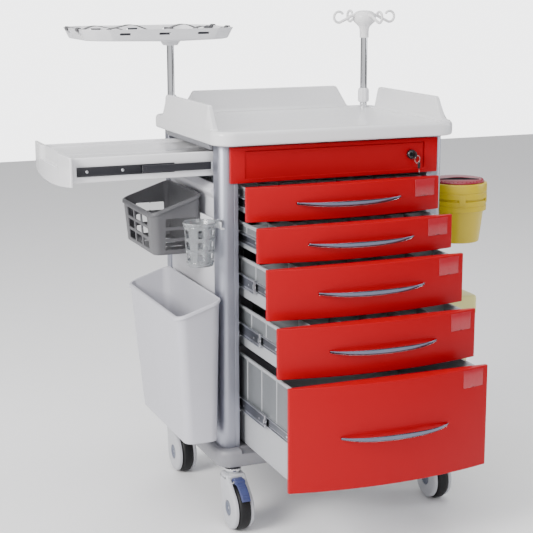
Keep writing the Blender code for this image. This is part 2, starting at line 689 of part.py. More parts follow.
def drawer_box(name, level, opening, inner_members, parent):
    """Moulded box with the slides' inner members on its sides."""
    low = level[0] + BOX_UNDER
    high = level[1] - BOX_BELOW
    y0 = FRONT_BACK_FACE + GAP - opening
    y1 = BOX_BACK - opening
    body = skin(name, box_loops(-BOX_HALF_WIDTH, BOX_HALF_WIDTH, y0, y1, low, high))
    z = rail_height(level)
    half = SLIDE_TALL[0] / 2
    far = BOX_HALF_WIDTH + inner_members * SLIDE_MEMBER + (inner_members - 1) * RUN
    for side in (-1, 1):
        xs = sorted((side * (BOX_HALF_WIDTH - 0.001), side * far))
        join(body, block("member", (xs[0], y0 + 0.003, z - half), (xs[1], y1 - 0.010, z + half)))
    return finish(body, name, "box_grey", parent)


def middle_member(name, side, level, opening, parent):
    """The slide member that travels half as far as its drawer."""
    x0 = BOX_HALF_WIDTH + SLIDE_MEMBER + RUN
    xs = sorted((side * x0, side * (x0 + SLIDE_MEMBER)))
    z = rail_height(level)
    half = SLIDE_TALL[1] / 2
    y0 = BODY_FRONT + SLIDE_START - opening / 2
    body = block(name, (xs[0], y0, z - half), (xs[1], y0 + SLIDE_LENGTH, z + half))
    return finish(body, name, "slide_steel", parent)


def drawers(parent):
    for index, level in enumerate(drawer_levels()):
        number = index + 1
        opening = DRAWER_OPEN[index]
        z = (level[0] + level[1]) / 2
        moving = empty(f"drawer_{number}_slide", (0, FRONT_BACK_FACE - opening, z), parent)
        three_part = DRAWER_TRAVEL[index] > 0.3
        drawer_front(f"drawer_{number}_front", level, opening, moving)
        drawer_box(f"drawer_{number}_box", level, opening, 1 if three_part else 2, moving)
        drawer_handle(f"drawer_{number}_handle", level, opening, moving)
        if three_part:
            half_way = empty(f"drawer_{number}_half_slide", (0, BODY_FRONT - opening / 2, z), parent)
            for side, word in ((-1, "left"), (1, "right")):
                middle_member(f"drawer_{number}_middle_rail_{word}", side, level, opening, half_way)


# ---------------------------------------------------------------- casters
def caster_fork(name, x, y, parent):
    """Two round cheeks under a bridge, with the axle, the chrome cup and the stem."""
    wheel_y = y - TRAIL
    inner = WHEEL_WIDTH / 2 + FORK_CLEAR
    outer = inner + CHEEK
    cheek_r = WHEEL_R - CHEEK_UNDER
    outline = []
    for k in range(13):
        t = math.radians(160 + 220 * k / 12)
        outline.append((wheel_y + cheek_r * math.cos(t), WHEEL_R + cheek_r * math.sin(t)))
    outline += [(y - 0.024, FORK_TOP - 0.006), (y - 0.018, FORK_TOP),
                (y + 0.016, FORK_TOP), (y + 0.021, FORK_TOP - 0.008)]
    outline = convex(outline)
    body = prism(name, outline, "X", x - outer, x + outer)
    room = WHEEL_R + FORK_CLEAR
    cut(body, rod("well", "X", (wheel_y, WHEEL_R), room, x - inner, x + inner, 28))
    cut(body, block("open", (x - inner, wheel_y - room - 0.01, -0.01),
                    (x + inner, wheel_y + room + 0.01, WHEEL_R)))
    cut(body, block("ahead", (x - inner, wheel_y - room - 0.01, WHEEL_R - 0.01),
                    (x + inner, wheel_y - 0.012, FORK_TOP - 0.008)))
    join(body, rod("axle", "X", (wheel_y, WHEEL_R), AXLE_R, x - inner - 0.002, x + inner + 0.002, 12))
    low, high = CUP_R
    join(body, turned("cup", [(low, FORK_TOP - 0.002), (low, FORK_TOP + 0.004),
                              (high, FORK_TOP + 0.006), (high, BASE_BOTTOM - 0.002),
                              (STEM_R, BASE_BOTTOM - 0.002), (STEM_R, BASE_BOTTOM + STEM_IN)],
                      "Z", (x, y), 16))
    return finish(body, name, "caster_grey", parent, 35)


def convex(points):
    """The convex hull of points in a plane, counterclockwise."""
    points = sorted(set(points))

    def chain(ordered):
        hull = []
        for p in ordered:
            while len(hull) > 1:
                (ax, ay), (bx, by) = hull[-2], hull[-1]
                if (bx - ax) * (p[1] - ay) - (by - ay) * (p[0] - ax) > 0:
                    break
                hull.pop()
            hull.append(p)
        return hull[:-1]
    return chain(points) + chain(points[::-1])


def caster_wheel(name, x, y, parent):
    """Hub and tyre, turned round the axle, with a bore that runs on it."""
    half = WHEEL_WIDTH / 2
    bore = AXLE_R + 2 * RUN
    profile = [(bore, -half), (WHEEL_R - 0.004, -half), (WHEEL_R - 0.001, 0.004 - half),
               (WHEEL_R, 0), (WHEEL_R - 0.001, half - 0.004), (WHEEL_R - 0.004, half), (bore, half)]
    profile = [(radius, x + along) for radius, along in profile]
    body = turned(name, profile, "X", (y - TRAIL, WHEEL_R), 28, wrap=True)
    return finish(body, name, "tyre", parent, 40)


def brake_pedal(name, x, y, parent):
    """A curved pedal over the front of the tread, hinged at the fork's bridge."""
    wheel_y = y - TRAIL
    near = WHEEL_R + PEDAL_CLEAR
    far = near + PEDAL_THICK
    outline = []
    angles = [100 + 50 * k / 6 for k in range(7)]
    for degrees in angles:
        t = math.radians(degrees)
        outline.append((wheel_y + near * math.cos(t), WHEEL_R + near * math.sin(t)))
    for degrees in reversed(angles):
        t = math.radians(degrees)
        outline.append((wheel_y + far * math.cos(t), WHEEL_R + far * math.sin(t)))
    half = PEDAL_WIDTH / 2
    body = prism(name, outline, "X", x - half, x + half)
    return finish(body, name, "pedal_blue", parent)


def pedal_axis(y):
    """Where a brake pedal's hinge lies in the plane of the wheel."""
    t = math.radians(100)
    middle = WHEEL_R + PEDAL_CLEAR + PEDAL_THICK / 2
    return (y - TRAIL + middle * math.cos(t), WHEEL_R + middle * math.sin(t))


def casters(parent):
    for y, row in zip(SWIVEL_Y, ("front", "rear")):
        for sx, word in ((-1, "left"), (1, "right")):
            x = sx * SWIVEL_X
            swivel = empty(f"caster_{row}_{word}_swivel", (x, y, BASE_BOTTOM), parent)
            caster_fork(f"caster_fork_{row}_{word}", x, y, swivel)
            spin = empty(f"caster_{row}_{word}_spin", (x, y - TRAIL, WHEEL_R), swivel)
            caster_wheel(f"caster_wheel_{row}_{word}", x, y, spin)
            if row == "front":
                at = pedal_axis(y)
                hinge = empty(f"brake_{word}_hinge", (x, at[0], at[1]), swivel)
                brake_pedal(f"brake_pedal_{word}", x, y, hinge)


# ---------------------------------------------------------------- poles
def clamp_knob(name, x, parent):
    """A ribbed knob round the pole that clamps it in the worktop."""
    low = TOP_RIM + 0.0015
    count = 24
    loops = []
    sizes = ((0.82, 0.0), (1.0, 0.004), (1.0, KNOB_TALL - 0.004), (0.86, KNOB_TALL))
    for grow, rise in sizes:
        loop = []
        for i in range(count):
            t = 2 * math.pi * i / count
            radius = KNOB_R * grow * (1.0 if i % 4 in (0, 1) else 0.92)
            loop.append((x + radius * math.cos(t), POLE_Y + radius * math.sin(t), low + rise))
        loops.append(loop)
    body = skin(name, loops)
    cut(body, rod("hole", "Z", (x, POLE_Y), POLE_R + POLE_CLEAR / 2, low - 0.01,
                  low + KNOB_TALL + 0.01))
    return finish(body, name, "white_plastic", parent)


def tube_path(name, path, radius, count):
    """A round wire along points that lie in a vertical plane through the Z axis."""
    loops = []
    for i, point in enumerate(path):
        before = Vector(path[max(i - 1, 0)])
        after = Vector(path[min(i + 1, len(path) - 1)])
        forward = (after - before).normalized()
        across = Vector((-path[-1][1], path[-1][0], 0.0)).normalized()
        up = forward.cross(across)
        loops.append([tuple(Vector(point) + radius * (math.cos(t) * across + math.sin(t) * up))
                      for t in (2 * math.pi * k / count for k in range(count))])
    return skin(name, loops)


def hook_path():
    """Radius and height of one hook: out and down from the hub, then round its ring."""
    centre_z = IV_HEAD_BOTTOM + 0.050
    ring = HOOK_RING
    points = [(0.012, centre_z + 0.002), (0.034, centre_z + 0.003), (0.046, centre_z - 0.003)]
    for k in range(10):
        t = math.radians(232 + 262 * k / 9)
        points.append((HOOK_REACH + ring * math.cos(t), centre_z + ring * math.sin(t)))
    return points


def iv_pole(parent):
    turn = empty("iv_clamp_knob_turn", (POLE_X, POLE_Y, TOP_RIM), parent)
    clamp_knob("iv_clamp_knob", POLE_X, turn)
    lift = empty("iv_pole_lift", (POLE_X, POLE_Y, TOP_RIM), parent)
    rod_top = IV_HEAD_BOTTOM + IV_HEAD_SOCKET
    bar = rod("iv_rod", "Z", (POLE_X, POLE_Y), POLE_R, BASE_TOP + POLE_END, rod_top, 16)
    finish(bar, "iv_rod", "chrome", lift, 40)
    z = IV_HEAD_BOTTOM
    head = turned("head", [(0.0110, z), (0.0110, z + 0.022), (0.0190, z + 0.032), (0.0270, z + 0.040),
                           (0.0280, z + 0.052), (0.0230, z + 0.061), (0.0120, z + 0.065)],
                  "Z", (0, 0), 20)
    for quarter in range(4):
        angle = math.radians(90 * quarter + 4)
        path = [(r * math.cos(angle), r * math.sin(angle), h) for r, h in hook_path()]
        join(head, tube_path("hook", path, HOOK_WIRE, 6))
    shift(head, (POLE_X, POLE_Y, 0))
    cut(head, rod("socket", "Z", (POLE_X, POLE_Y), POLE_R + GAP, z - 0.01, rod_top + GAP, 16))
    finish(head, "iv_hook_head", "white_plastic", lift, 40)


def tray_outline(middle, half, corner):
    """Sixteen points of a rectangle with cut corners, starting on the middle of +X."""
    half_x, half_y = half
    bend = corner * 0.4
    quarter = [(half_x, 0), (half_x, half_y - corner), (half_x - bend, half_y - bend),
               (half_x - corner, half_y)]
    points = quarter + [(0, half_y)] + [(-x, y) for x, y in quarter[:0:-1]]
    points += [(-x, -y) for x, y in points[:8]]
    return [(middle[0] + x, middle[1] + y) for x, y in points]


def monitor_tray(parent):
    """Tray on its own pole: shallow pyramid below, flared slotted rim above."""
    x = -POLE_X
    turn = empty("tray_clamp_knob_turn", (x, POLE_Y, TOP_RIM), parent)
    clamp_knob("tray_clamp_knob", x, turn)
    swivel = empty("tray_pole_swivel", (x, POLE_Y, TOP_RIM), parent)
    pole_top = TRAY_BOTTOM + TRAY_SOCKET
    pole = rod("tray_pole", "Z", (x, POLE_Y), POLE_R, TOP_BOTTOM - TRAY_POLE_DOWN, pole_top, 16)
    finish(pole, "tray_pole", "chrome", swivel, 40)
    flare = 0.010

    def ring(middle, half, grow, corner, z):
        size = (half[0] + grow, half[1] + grow)
        return [(a, b, z) for a, b in tray_outline(middle, size, corner)]
    wall = TRAY_WALL
    hub = (POLE_R + 0.006, POLE_R + 0.006)
    loops = [ring((0, 0), hub, 0.0, 0.006, TRAY_BOTTOM),
             ring((0, 0), hub, 0.0055, 0.008, TRAY_BOTTOM + 0.009),
             ring(TRAY_OFF, TRAY_HALF, -flare, TRAY_CORNER, TRAY_FLOOR - wall),
             ring(TRAY_OFF, TRAY_HALF, 0.0, TRAY_CORNER, TRAY_RIM),
             ring(TRAY_OFF, TRAY_HALF, -wall, TRAY_CORNER, TRAY_RIM),
             ring(TRAY_OFF, TRAY_HALF, -flare - wall, TRAY_CORNER, TRAY_FLOOR)]
    body = skin("tray", loops, split=True)
    low = TRAY_FLOOR + 0.42 * (TRAY_RIM - TRAY_FLOOR)
    high = low + 0.005
    far_x, far_y = (half + 0.02 for half in TRAY_HALF)
    for step in (-1, 0, 1):
        at = TRAY_OFF[0] + 0.090 * step
        cut(body, block("slot", (at - 0.014, TRAY_OFF[1] - far_y, low),
                        (at + 0.014, TRAY_OFF[1] + far_y, high)))
    for step in (-1, 1):
        at = TRAY_OFF[1] + 0.050 * step
        cut(body, block("slot", (TRAY_OFF[0] - far_x, at - 0.014, low),
                        (TRAY_OFF[0] + far_x, at + 0.014, high)))
    shift(body, (x, POLE_Y, 0))
    cut(body, rod("socket", "Z", (x, POLE_Y), POLE_R + GAP, TRAY_BOTTOM - 0.01, pole_top + GAP, 16))
    finish(body, "monitor_tray", "white_plastic", swivel)


# ---------------------------------------------------------------- side accessories
def hook(side, rail_bottom, wall_x, y0, y1):
    """An accessory's hook: over the rail's upturned edge and down behind it."""
    rail_x = BODY_HALF_WIDTH + RAIL_LOW
    edge = RAIL_FACE - RAIL_SHEET
    low = rail_bottom + RAIL_UP + GAP
    high = low + HOOK_SHEET
    tip = rail_bottom + RAIL_SHEET + 0.003
    outline = [(rail_x + 0.0006, tip), (edge - 0.0008, tip), (edge - 0.0008, low), (wall_x, low),
               (wall_x, high), (rail_x + 0.0006, high)]
    return prism("hook", [(side * x, z) for x, z in outline], "Y", y0, y1)


def vessel(name, side, xs, ys, zs, taper, corner, lip):
    """A tapered open container; its rim falls from the cart outwards.

    xs are distances from the middle plane, zs the floor, the rim at the cart and the rim
    outside, taper how much narrower the floor is outside and at its two ends.
    """
    inner, outer = xs
    floor, rim_in, rim_out = zs
    wall = CONTAINER_WALL
    small = ((inner, ys[0] + taper[1]), (outer - taper[0], ys[1] - taper[1]))
    large = ((inner, ys[0]), (outer, ys[1]))

    def rim_z(x):
        return rim_in + (rim_out - rim_in) * (x - inner) / (outer - inner)

    def ring(box, grow, drop=None, z=None):
        low = (box[0][0] - min(grow, 0.0005), box[0][1] - grow)
        high = (box[1][0] + grow, box[1][1] + grow)
        points = rounded(low, high, (corner + grow,) * 4, 3)
        return [(side * x, y, z if drop is None else rim_z(x) - drop) for x, y in points]
    loops = [ring(small, 0.0, z=floor), ring(large, 0.0, drop=0.008),
             ring(large, lip, drop=0.006), ring(large, lip, drop=0.0),
             ring(large, -wall, drop=0.0), ring(small, -wall, z=floor + wall)]
    return skin(name, loops, split=True)


def basket(parent):
    """Perforated basket, hooked on the left rail."""
    inner, outer = BASKET_X
    y0, y1 = BASKET_Y
    heights = from_rail(BASKET_RAIL, BASKET_RISE)
    floor = heights[0]
    moving = empty("basket_lift", (-inner, (y0 + y1) / 2, BASKET_RAIL), parent)
    body = vessel("basket", -1, BASKET_X, BASKET_Y, heights, (0.006, 0.007), 0.016, 0.0035)
    for row in range(3):
        z = floor + 0.0110 + 0.0255 * row
        for k in range(3):
            y = y0 + 0.036 + (y1 - y0 - 0.072) * (k + 0.5) / 3
            cut(body, block("opening", (-outer - 0.01, y - 0.0222, z),
                            (-outer + 0.030, y + 0.0222, z + 0.0190)))
        for x in (-outer + 0.048, -inner - 0.030):
            cut(body, block("opening", (x - 0.017, y0 - 0.02, z), (x + 0.017, y1 + 0.02, z + 0.0185)))
    for k in range(4):
        y = y0 + 0.045 + 0.0455 * k
        cut(body, block("slat", (-outer + 0.032, y - 0.008, floor - 0.01),
                        (-inner - 0.014, y + 0.008, floor + 0.01)))
    for y in (y0 + 0.05, y1 - 0.08):
        join(body, hook(-1, BASKET_RAIL, inner + 0.0015, y, y + 0.03))
    return finish(body, "basket", "basket_grey", moving)


def cup_holder(parent):
    """Round perforated cup on the rail, ahead of the basket."""
    low, high = from_rail(BASKET_RAIL, HOLDER_RISE)
    small, large = HOLDER_R
    wall = 0.0020
    moving = empty("cup_lift", (-HOLDER_X, HOLDER_Y, low), parent)
    profile = [(small, low), (large - 0.0015, high - 0.006), (large, high - 0.005), (large, high),
               (large - 0.0015 - wall, high), (small - wall, low + wall)]
    body = turned("cup", profile, "Z", (0, 0), 24)
    for row in range(3):
        z = low + 0.012 + 0.025 * row
        for k in range(3):
            bar = block("opening", (-0.05, -0.0065, z), (0.05, 0.0065, z + 0.017))
            bar.data.transform(Matrix.Rotation(math.radians(15 + 60 * k), 4, "Z"))
            cut(body, bar)
    shift(body, (-HOLDER_X, HOLDER_Y, 0))
    join(body, hook(-1, BASKET_RAIL, HOLDER_X - large + 0.0022, HOLDER_Y - 0.010, HOLDER_Y + 0.010))
    return finish(body, "cup_holder", "clear_plastic", moving)


def waste_bin(parent):
    """Tapered waste bin on the lower left rail."""
    moving = empty("waste_bin_lift", (-BIN_X[0], 0.0, BIN_RAIL), parent)
    heights = from_rail(BIN_RAIL, BIN_RISE)
    body = vessel("bin", -1, BIN_X, BIN_Y, heights, (0.021, 0.022), 0.020, 0.004)
    for y in (BIN_Y[0] + 0.10, BIN_Y[1] - 0.09):
        join(body, hook(-1, BIN_RAIL, BIN_X[0] + 0.0015, y, y + 0.04))
    return finish(body, "waste_bin", "bin_grey", moving)


def sharps(parent):
    """Round sharps container with two bands and a slotted lid, on the right rail."""
    floor, band1, band2, top = from_rail(BASKET_RAIL, SHARPS_RISE)
    r0, r1, r2 = SHARPS_R
    wall = CONTAINER_WALL
    moving = empty("sharps_lift", (SHARPS_X, SHARPS_Y, floor), parent)
    profile = [(r0, floor), (r1, band1 - 0.001), (r2 - 0.001, band1), (r2 - 0.001, band2 - 0.003),
               (r1 + 0.003, band2 - 0.002), (r1 + 0.003, band2), (r2, band2 + 0.001), (r2, top - 0.002),
               (r2 - 0.001, top), (r1 - wall, top), (r0 - wall, floor + wall)]
    body = turned("container", profile, "Z", (SHARPS_X, SHARPS_Y), 28)
    join(body, hook(1, BASKET_RAIL, SHARPS_X - r2 + 0.003, SHARPS_Y - 0.012, SHARPS_Y + 0.012))
    finish(body, "sharps_container", "sharps_yellow", moving, 40)
    low = top + GAP
    peak = low + SHARPS_LID_TALL
    lid = turned("lid", [(r1 + 0.001, low), (r1 + 0.001, low + 0.003), (r1 * 0.86, low + 0.0075),
                         (r1 * 0.45, peak - 0.001), (r1 * 0.2, peak)], "Z", (0, 0), 28)
    hollow = turned("hollow", [(r1 - 0.004, low - 0.01), (r1 - 0.004, low + 0.001),
                               (r1 * 0.82, low + 0.004), (r1 * 0.42, peak - 0.0045)], "Z", (0, 0), 28)
    cut(lid, hollow)
    slot = []
    for k in range(16):
        u = 2 * k / 8 - 1 if k < 8 else 3 - 2 * k / 8
        bulge = (-1 if k < 8 else 1) * 0.014 * (1 - u * u)
        slot.append((r1 * 0.7 * u, bulge - 0.024))
    mouth = prism("mouth", slot, "Z", low - 0.02, peak + 0.01)
    mouth.data.transform(Matrix.Rotation(math.radians(-22), 4, "Z"))
    cut(lid, mouth)
    shift(lid, (SHARPS_X, SHARPS_Y, 0))
    finish(lid, "sharps_lid", "sharps_red", moving, 40)


def yellow_bin(parent):
    """Lidded pale bin on the lower right rail; the lid's hinge lies along its cart side."""
    inner, outer = YELLOW_X
    y0, y1 = YELLOW_Y
    floor, rim = from_rail(YELLOW_RAIL, YELLOW_RISE)
    low, high = from_rail(YELLOW_RAIL, YELLOW_LID)
    moving = empty("yellow_bin_lift", (inner, 0.0, YELLOW_RAIL), parent)
    reach = 0.0022
    inside = reach + 0.0018
    body = vessel("bin", 1, (inner, outer - inside), (y0 + inside, y1 - inside), (floor, rim, rim),
                  (0.018, 0.012), 0.014, 0.0)
    for y in (y0 + 0.03, y1 - 0.06):
        join(body, hook(1, YELLOW_RAIL, inner + 0.0015, y, y + 0.03))
    finish(body, "yellow_bin", "pale_yellow", moving)
    hinge = empty("yellow_lid_hinge", (inner - 0.001, 0.0, rim + 0.005), moving)
    near = inner - 0.0005
    outline = rounded((near, y0), (outer, y1), (0.002, 0.014, 0.014, 0.002), 3)
    lid = prism("lid", outline, "Z", low, high)
    room = rounded((near - 0.02, y0 + reach), (outer - reach, y1 - reach),
                   (0.002, 0.012, 0.012, 0.002), 3)
    cut(lid, prism("room", room, "Z", low - 0.01, rim + RUN))
    finish(lid, "yellow_bin_lid", "pale_yellow", hinge)


# ---------------------------------------------------------------- side shelf
def shelf_stack(step):
    """Depths of the shelf's slide on both sides: 0 inner, 1 middle, 2 fixed member."""
    near = step * (SHELF_SLIDE_MEMBER + RUN)
    return ((SHELF_Y[0] - near - SHELF_SLIDE_MEMBER, SHELF_Y[0] - near),
            (SHELF_Y[1] + near, SHELF_Y[1] + near + SHELF_SLIDE_MEMBER))


def shelf_member(step, x0, x1, ys):
    """One member of the shelf's slides, as a bar between x0 and x1."""
    half = SHELF_SLIDE_TALL[step] / 2
    return block("member", (x0, ys[0], SHELF_SLIDE_Z - half), (x1, ys[1], SHELF_SLIDE_Z + half))


def shelf_outer_members():
    """The fixed members, each on a tab that rises from the left side panel."""
    made = []
    for ys in shelf_stack(2):
        rail = shelf_member(2, SHELF_RAIL_END, SHELF_RAIL_END + SLIDE_LENGTH, ys)
        join(rail, block("tab", (-PANEL_X[1], ys[0] + 0.0005, LEDGE_TOP - 0.010),
                         (-PANEL_X[0], ys[1] - 0.0005, SHELF_SLIDE_Z - 0.005)))
        made.append(rail)
    return made


def shelf_end_plate(x0):
    """End plate: an arc in plan below, carved back above to leave a crescent ledge to grip."""
    y0, y1 = SHELF_PLATE_Y
    low, high = (TOP_BOTTOM - down for down in SHELF_PLATE_DOWN)
    outline = [(x0, y1), (x0, y0)]
    for k in range(11):
        u = 2 * k / 10 - 1
        out = 0.006 + (SHELF_PLATE_THICK - 0.006) * (1 - u * u)
        outline.append((x0 - out, y0 + (y1 - y0) * (u + 1) / 2))
    plate = prism("plate", outline, "Z", low, high)
    grip = [(min(x, x0 - 0.004), y * 1.9 + (y0 + y1) / 2) for x, y in circle(0.075, 20, x0 - 0.072)]
    return cut(plate, prism("grip", grip, "Z", low + 0.040, high + 0.01))


def side_shelf(parent):
    """Pull-out writing shelf on the left: tray with a raised lip, skirts and an end plate."""
    x0 = SHELF_END
    x1 = SHELF_END + SHELF_LENGTH
    y0, y1 = SHELF_Y
    moving = empty("shelf_slide", (x0, 0, SHELF_SLIDE_Z), parent)
    bottom = SHELF_TOP - SHELF_SKIRT
    skirt = 0.003
    body = block("shelf", (x0 - 0.002, y0, bottom), (x1, y1, SHELF_TOP))
    deck = SHELF_TOP - 0.007
    cut(body, block("recess", (x0 + 0.008, y0 + SHELF_LIP, deck),
                    (x1 + 0.01, y1 - SHELF_LIP, SHELF_TOP + 0.01)))
    cut(body, block("under", (x0 + 0.004, y0 + skirt, bottom - 0.01),
                    (x1 + 0.01, y1 - skirt, deck - skirt)))
    join(body, shelf_end_plate(x0))
    front, rear = shelf_stack(0)
    for ys in ((front[0], front[1] + 0.001), (rear[0] - 0.001, rear[1])):
        join(body, shelf_member(0, x0 + 0.012, x0 + 0.222, ys))
    finish(body, "side_shelf", "white_plastic", moving)
    half_way = empty("shelf_half_slide", (x0 + SHELF_OUT / 2, 0, SHELF_SLIDE_Z), parent)
    start = SHELF_RAIL_END - SHELF_OUT / 2
    for ys, word in zip(shelf_stack(1), ("front", "rear")):
        rail = shelf_member(1, start, start + SLIDE_LENGTH, ys)
        finish(rail, f"shelf_middle_rail_{word}", "slide_black", half_way)


# ---------------------------------------------------------------- assembly
def stand_on_origin(cart):
    """Move the whole cart so that the underside of its bounding box is centred on the origin."""
    bpy.context.view_layer.update()
    points = []
    for obj in bpy.data.objects:
        if obj.type == "MESH":
            points += [obj.matrix_world @ vertex.co for vertex in obj.data.vertices]
    low = [min(p[i] for p in points) for i in range(3)]
    high = [max(p[i] for p in points) for i in range(3)]
    cart.location = (-(low[0] + high[0]) / 2, -(low[1] + high[1]) / 2, -low[2])
    bpy.context.view_layer.update()


def build():
    clear_scene()
    cart = empty("cart")
    base_tray(cart)
    for rear, row in ((False, "front"), (True, "rear")):
        for side, word in ((-1, "left"), (1, "right")):
            column(f"column_{row}_{word}", side, rear, cart)
    side_panel("side_panel_left", -1, cart)
    side_panel("side_panel_right", 1, cart)
    back_panel(cart)
    lock_panel(cart)
    worktop(cart)
    drawers(cart)
    casters(cart)
    iv_pole(cart)
    monitor_tray(cart)
    basket(cart)
    cup_holder(cart)
    waste_bin(cart)
    sharps(cart)
    yellow_bin(cart)
    side_shelf(cart)
    stand_on_origin(cart)


build()
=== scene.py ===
"""Looks of the crash cart: one section for each piece or group of like pieces.

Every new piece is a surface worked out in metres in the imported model's own frame, so its object
stays at the origin.  Lengths in mm(...) are real sizes.
"""
import math

import bpy
import numpy as np
from mathutils import Matrix, Vector


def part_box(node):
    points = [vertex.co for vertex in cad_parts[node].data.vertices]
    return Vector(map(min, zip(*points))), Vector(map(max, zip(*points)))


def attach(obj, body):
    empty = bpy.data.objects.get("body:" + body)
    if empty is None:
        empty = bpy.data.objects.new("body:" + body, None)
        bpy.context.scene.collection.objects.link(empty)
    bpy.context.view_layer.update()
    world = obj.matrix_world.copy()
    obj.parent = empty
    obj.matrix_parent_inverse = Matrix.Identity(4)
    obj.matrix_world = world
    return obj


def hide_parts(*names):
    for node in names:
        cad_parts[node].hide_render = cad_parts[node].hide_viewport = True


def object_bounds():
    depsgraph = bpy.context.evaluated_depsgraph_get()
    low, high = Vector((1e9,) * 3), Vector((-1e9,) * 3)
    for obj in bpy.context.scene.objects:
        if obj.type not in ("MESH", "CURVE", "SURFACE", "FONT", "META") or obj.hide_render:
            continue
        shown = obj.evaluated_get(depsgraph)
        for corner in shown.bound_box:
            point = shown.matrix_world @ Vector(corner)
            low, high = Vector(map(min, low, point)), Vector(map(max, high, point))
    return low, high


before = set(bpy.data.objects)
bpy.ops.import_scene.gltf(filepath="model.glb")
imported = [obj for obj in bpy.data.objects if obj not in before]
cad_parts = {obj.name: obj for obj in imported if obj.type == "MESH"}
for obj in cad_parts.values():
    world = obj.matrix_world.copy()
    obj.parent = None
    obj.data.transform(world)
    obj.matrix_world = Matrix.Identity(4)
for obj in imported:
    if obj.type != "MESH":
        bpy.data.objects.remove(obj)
cad_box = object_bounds()


# ------------------------------------------------------------------ cabinet base
# The base is one thick grey structural-foam moulding.  Its rim is rounded all round, it has a
# lower lip where the bottom drawer hangs over it, and the caster stems press into its underside.
def mm(length):
    """Millimetres as metres."""
    return length / 1000.0


def linear(hex_colour):
    """An sRGB hex colour as linear RGBA."""
    channels = np.array([int(hex_colour[i:i + 2], 16) for i in (0, 2, 4)]) / 255.0
    light = np.where(channels <= 0.04045, channels / 12.92, ((channels + 0.055) / 1.055) ** 2.4)
    return (*[float(c) for c in light], 1.0)


def node(tree, kind, settings=None, **links):
    """Add one shader node: settings are attributes or socket values, links join its inputs."""
    made = tree.nodes.new(kind)
    for key, value in (settings or {}).items():
        if isinstance(key, str) and hasattr(made, key):
            setattr(made, key, value)
        else:
            made.inputs[key].default_value = value
    for key, source in links.items():
        slot = int(key[1:]) if key[0] == "i" and key[1:].isdigit() else key.replace("_", " ")
        tree.links.new(source, made.inputs[slot])
    return made


def edge_mask(tree, radius, samples, wear_and_highlight):
    """A normal averaged over `radius`, and a mask where it leaves the true one, up to `wear_and_highlight`."""
    true = node(tree, "ShaderNodeNewGeometry")
    soft = node(tree, "ShaderNodeBevel", {"samples": samples, "Radius": radius}) if wear_and_highlight else true
    same = node(tree, "ShaderNodeVectorMath", {"operation": "DOT_PRODUCT"},
                i0=soft.outputs["Normal"], i1=true.outputs["Normal"])
    edge = node(tree, "ShaderNodeMapRange", {"From Min": 0.985, "From Max": 0.80, "To Max": wear_and_highlight},
                Value=same.outputs["Value"])
    return soft.outputs["Normal"], edge.outputs["Result"]


def moulded(name, colour, roughness, grain, depth, mottle=0.04, wear_and_highlight=0.25, coat=0.0, ior=1.46,
            see_through=0.0):
    """A moulded plastic: spark-eroded grain, slow colour drift and paler, duller edges (wear and painted
    highlight).

    grain is the grain's size and depth its height, both in metres.  The edge mask compares the
    true normal with one averaged over about a millimetre; worn 0 leaves the mask out.
    see_through lets light in.
    """
    made = bpy.data.materials.new(name)
    made.use_nodes = True
    tree = made.node_tree
    shader = tree.nodes["Principled BSDF"]
    shader.inputs["IOR"].default_value = ior
    shader.inputs["Coat Weight"].default_value = coat
    shader.inputs["Coat Roughness"].default_value = 0.06
    if see_through:
        shader.inputs["Transmission Weight"].default_value = see_through
    place = node(tree, "ShaderNodeTexCoord").outputs["Object"]
    fine = node(tree, "ShaderNodeTexNoise", {"Scale": 1.0 / grain, "Detail": 3.0}, Vector=place)
    slow = node(tree, "ShaderNodeTexNoise", {"Scale": 9.0, "Detail": 4.0}, Vector=place)
    scuff = node(tree, "ShaderNodeTexNoise", {"Scale": 70.0, "Detail": 3.0}, Vector=place)
    soft, edge = edge_mask(tree, mm(1.2), 6, wear_and_highlight)
    # Paler, duller edges: edge wear, and a painted highlight on rounded edges where the mask is strong.
    wear_and_highlight_mask = node(tree, "ShaderNodeMath", {"operation": "MULTIPLY"}, i0=edge, i1=scuff.outputs["Fac"])
    base = np.array(linear(colour)[:3])
    dark = (*(base * (1.0 - mottle)), 1.0)
    light = (*np.clip(base * (1.0 + mottle), 0, 1), 1.0)
    drift = node(tree, "ShaderNodeMix", {"data_type": "RGBA", 6: dark, 7: light},
                 i0=slow.outputs["Fac"])
    pale = (*np.clip(base * 0.75 + 0.25, 0, 1), 1.0)
    mixed = node(tree, "ShaderNodeMix", {"data_type": "RGBA", 7: pale},
                 i0=wear_and_highlight_mask.outputs["Value"], i6=drift.outputs[2])
    tree.links.new(mixed.outputs[2], shader.inputs["Base Color"])
    rough = node(tree, "ShaderNodeMapRange", {"To Min": roughness * 0.88, "To Max": roughness * 1.14},
                 Value=scuff.outputs["Fac"])
    rough = node(tree, "ShaderNodeMath", {"operation": "ADD"},
                 i0=rough.outputs["Result"], i1=wear_and_highlight_mask.outputs["Value"])
    tree.links.new(rough.outputs["Value"], shader.inputs["Roughness"])
    bump = node(tree, "ShaderNodeBump", {"Strength": 0.6, "Distance": depth},
                Height=fine.outputs["Fac"], Normal=soft)
    tree.links.new(bump.outputs["Normal"], shader.inputs["Normal"])
    return made


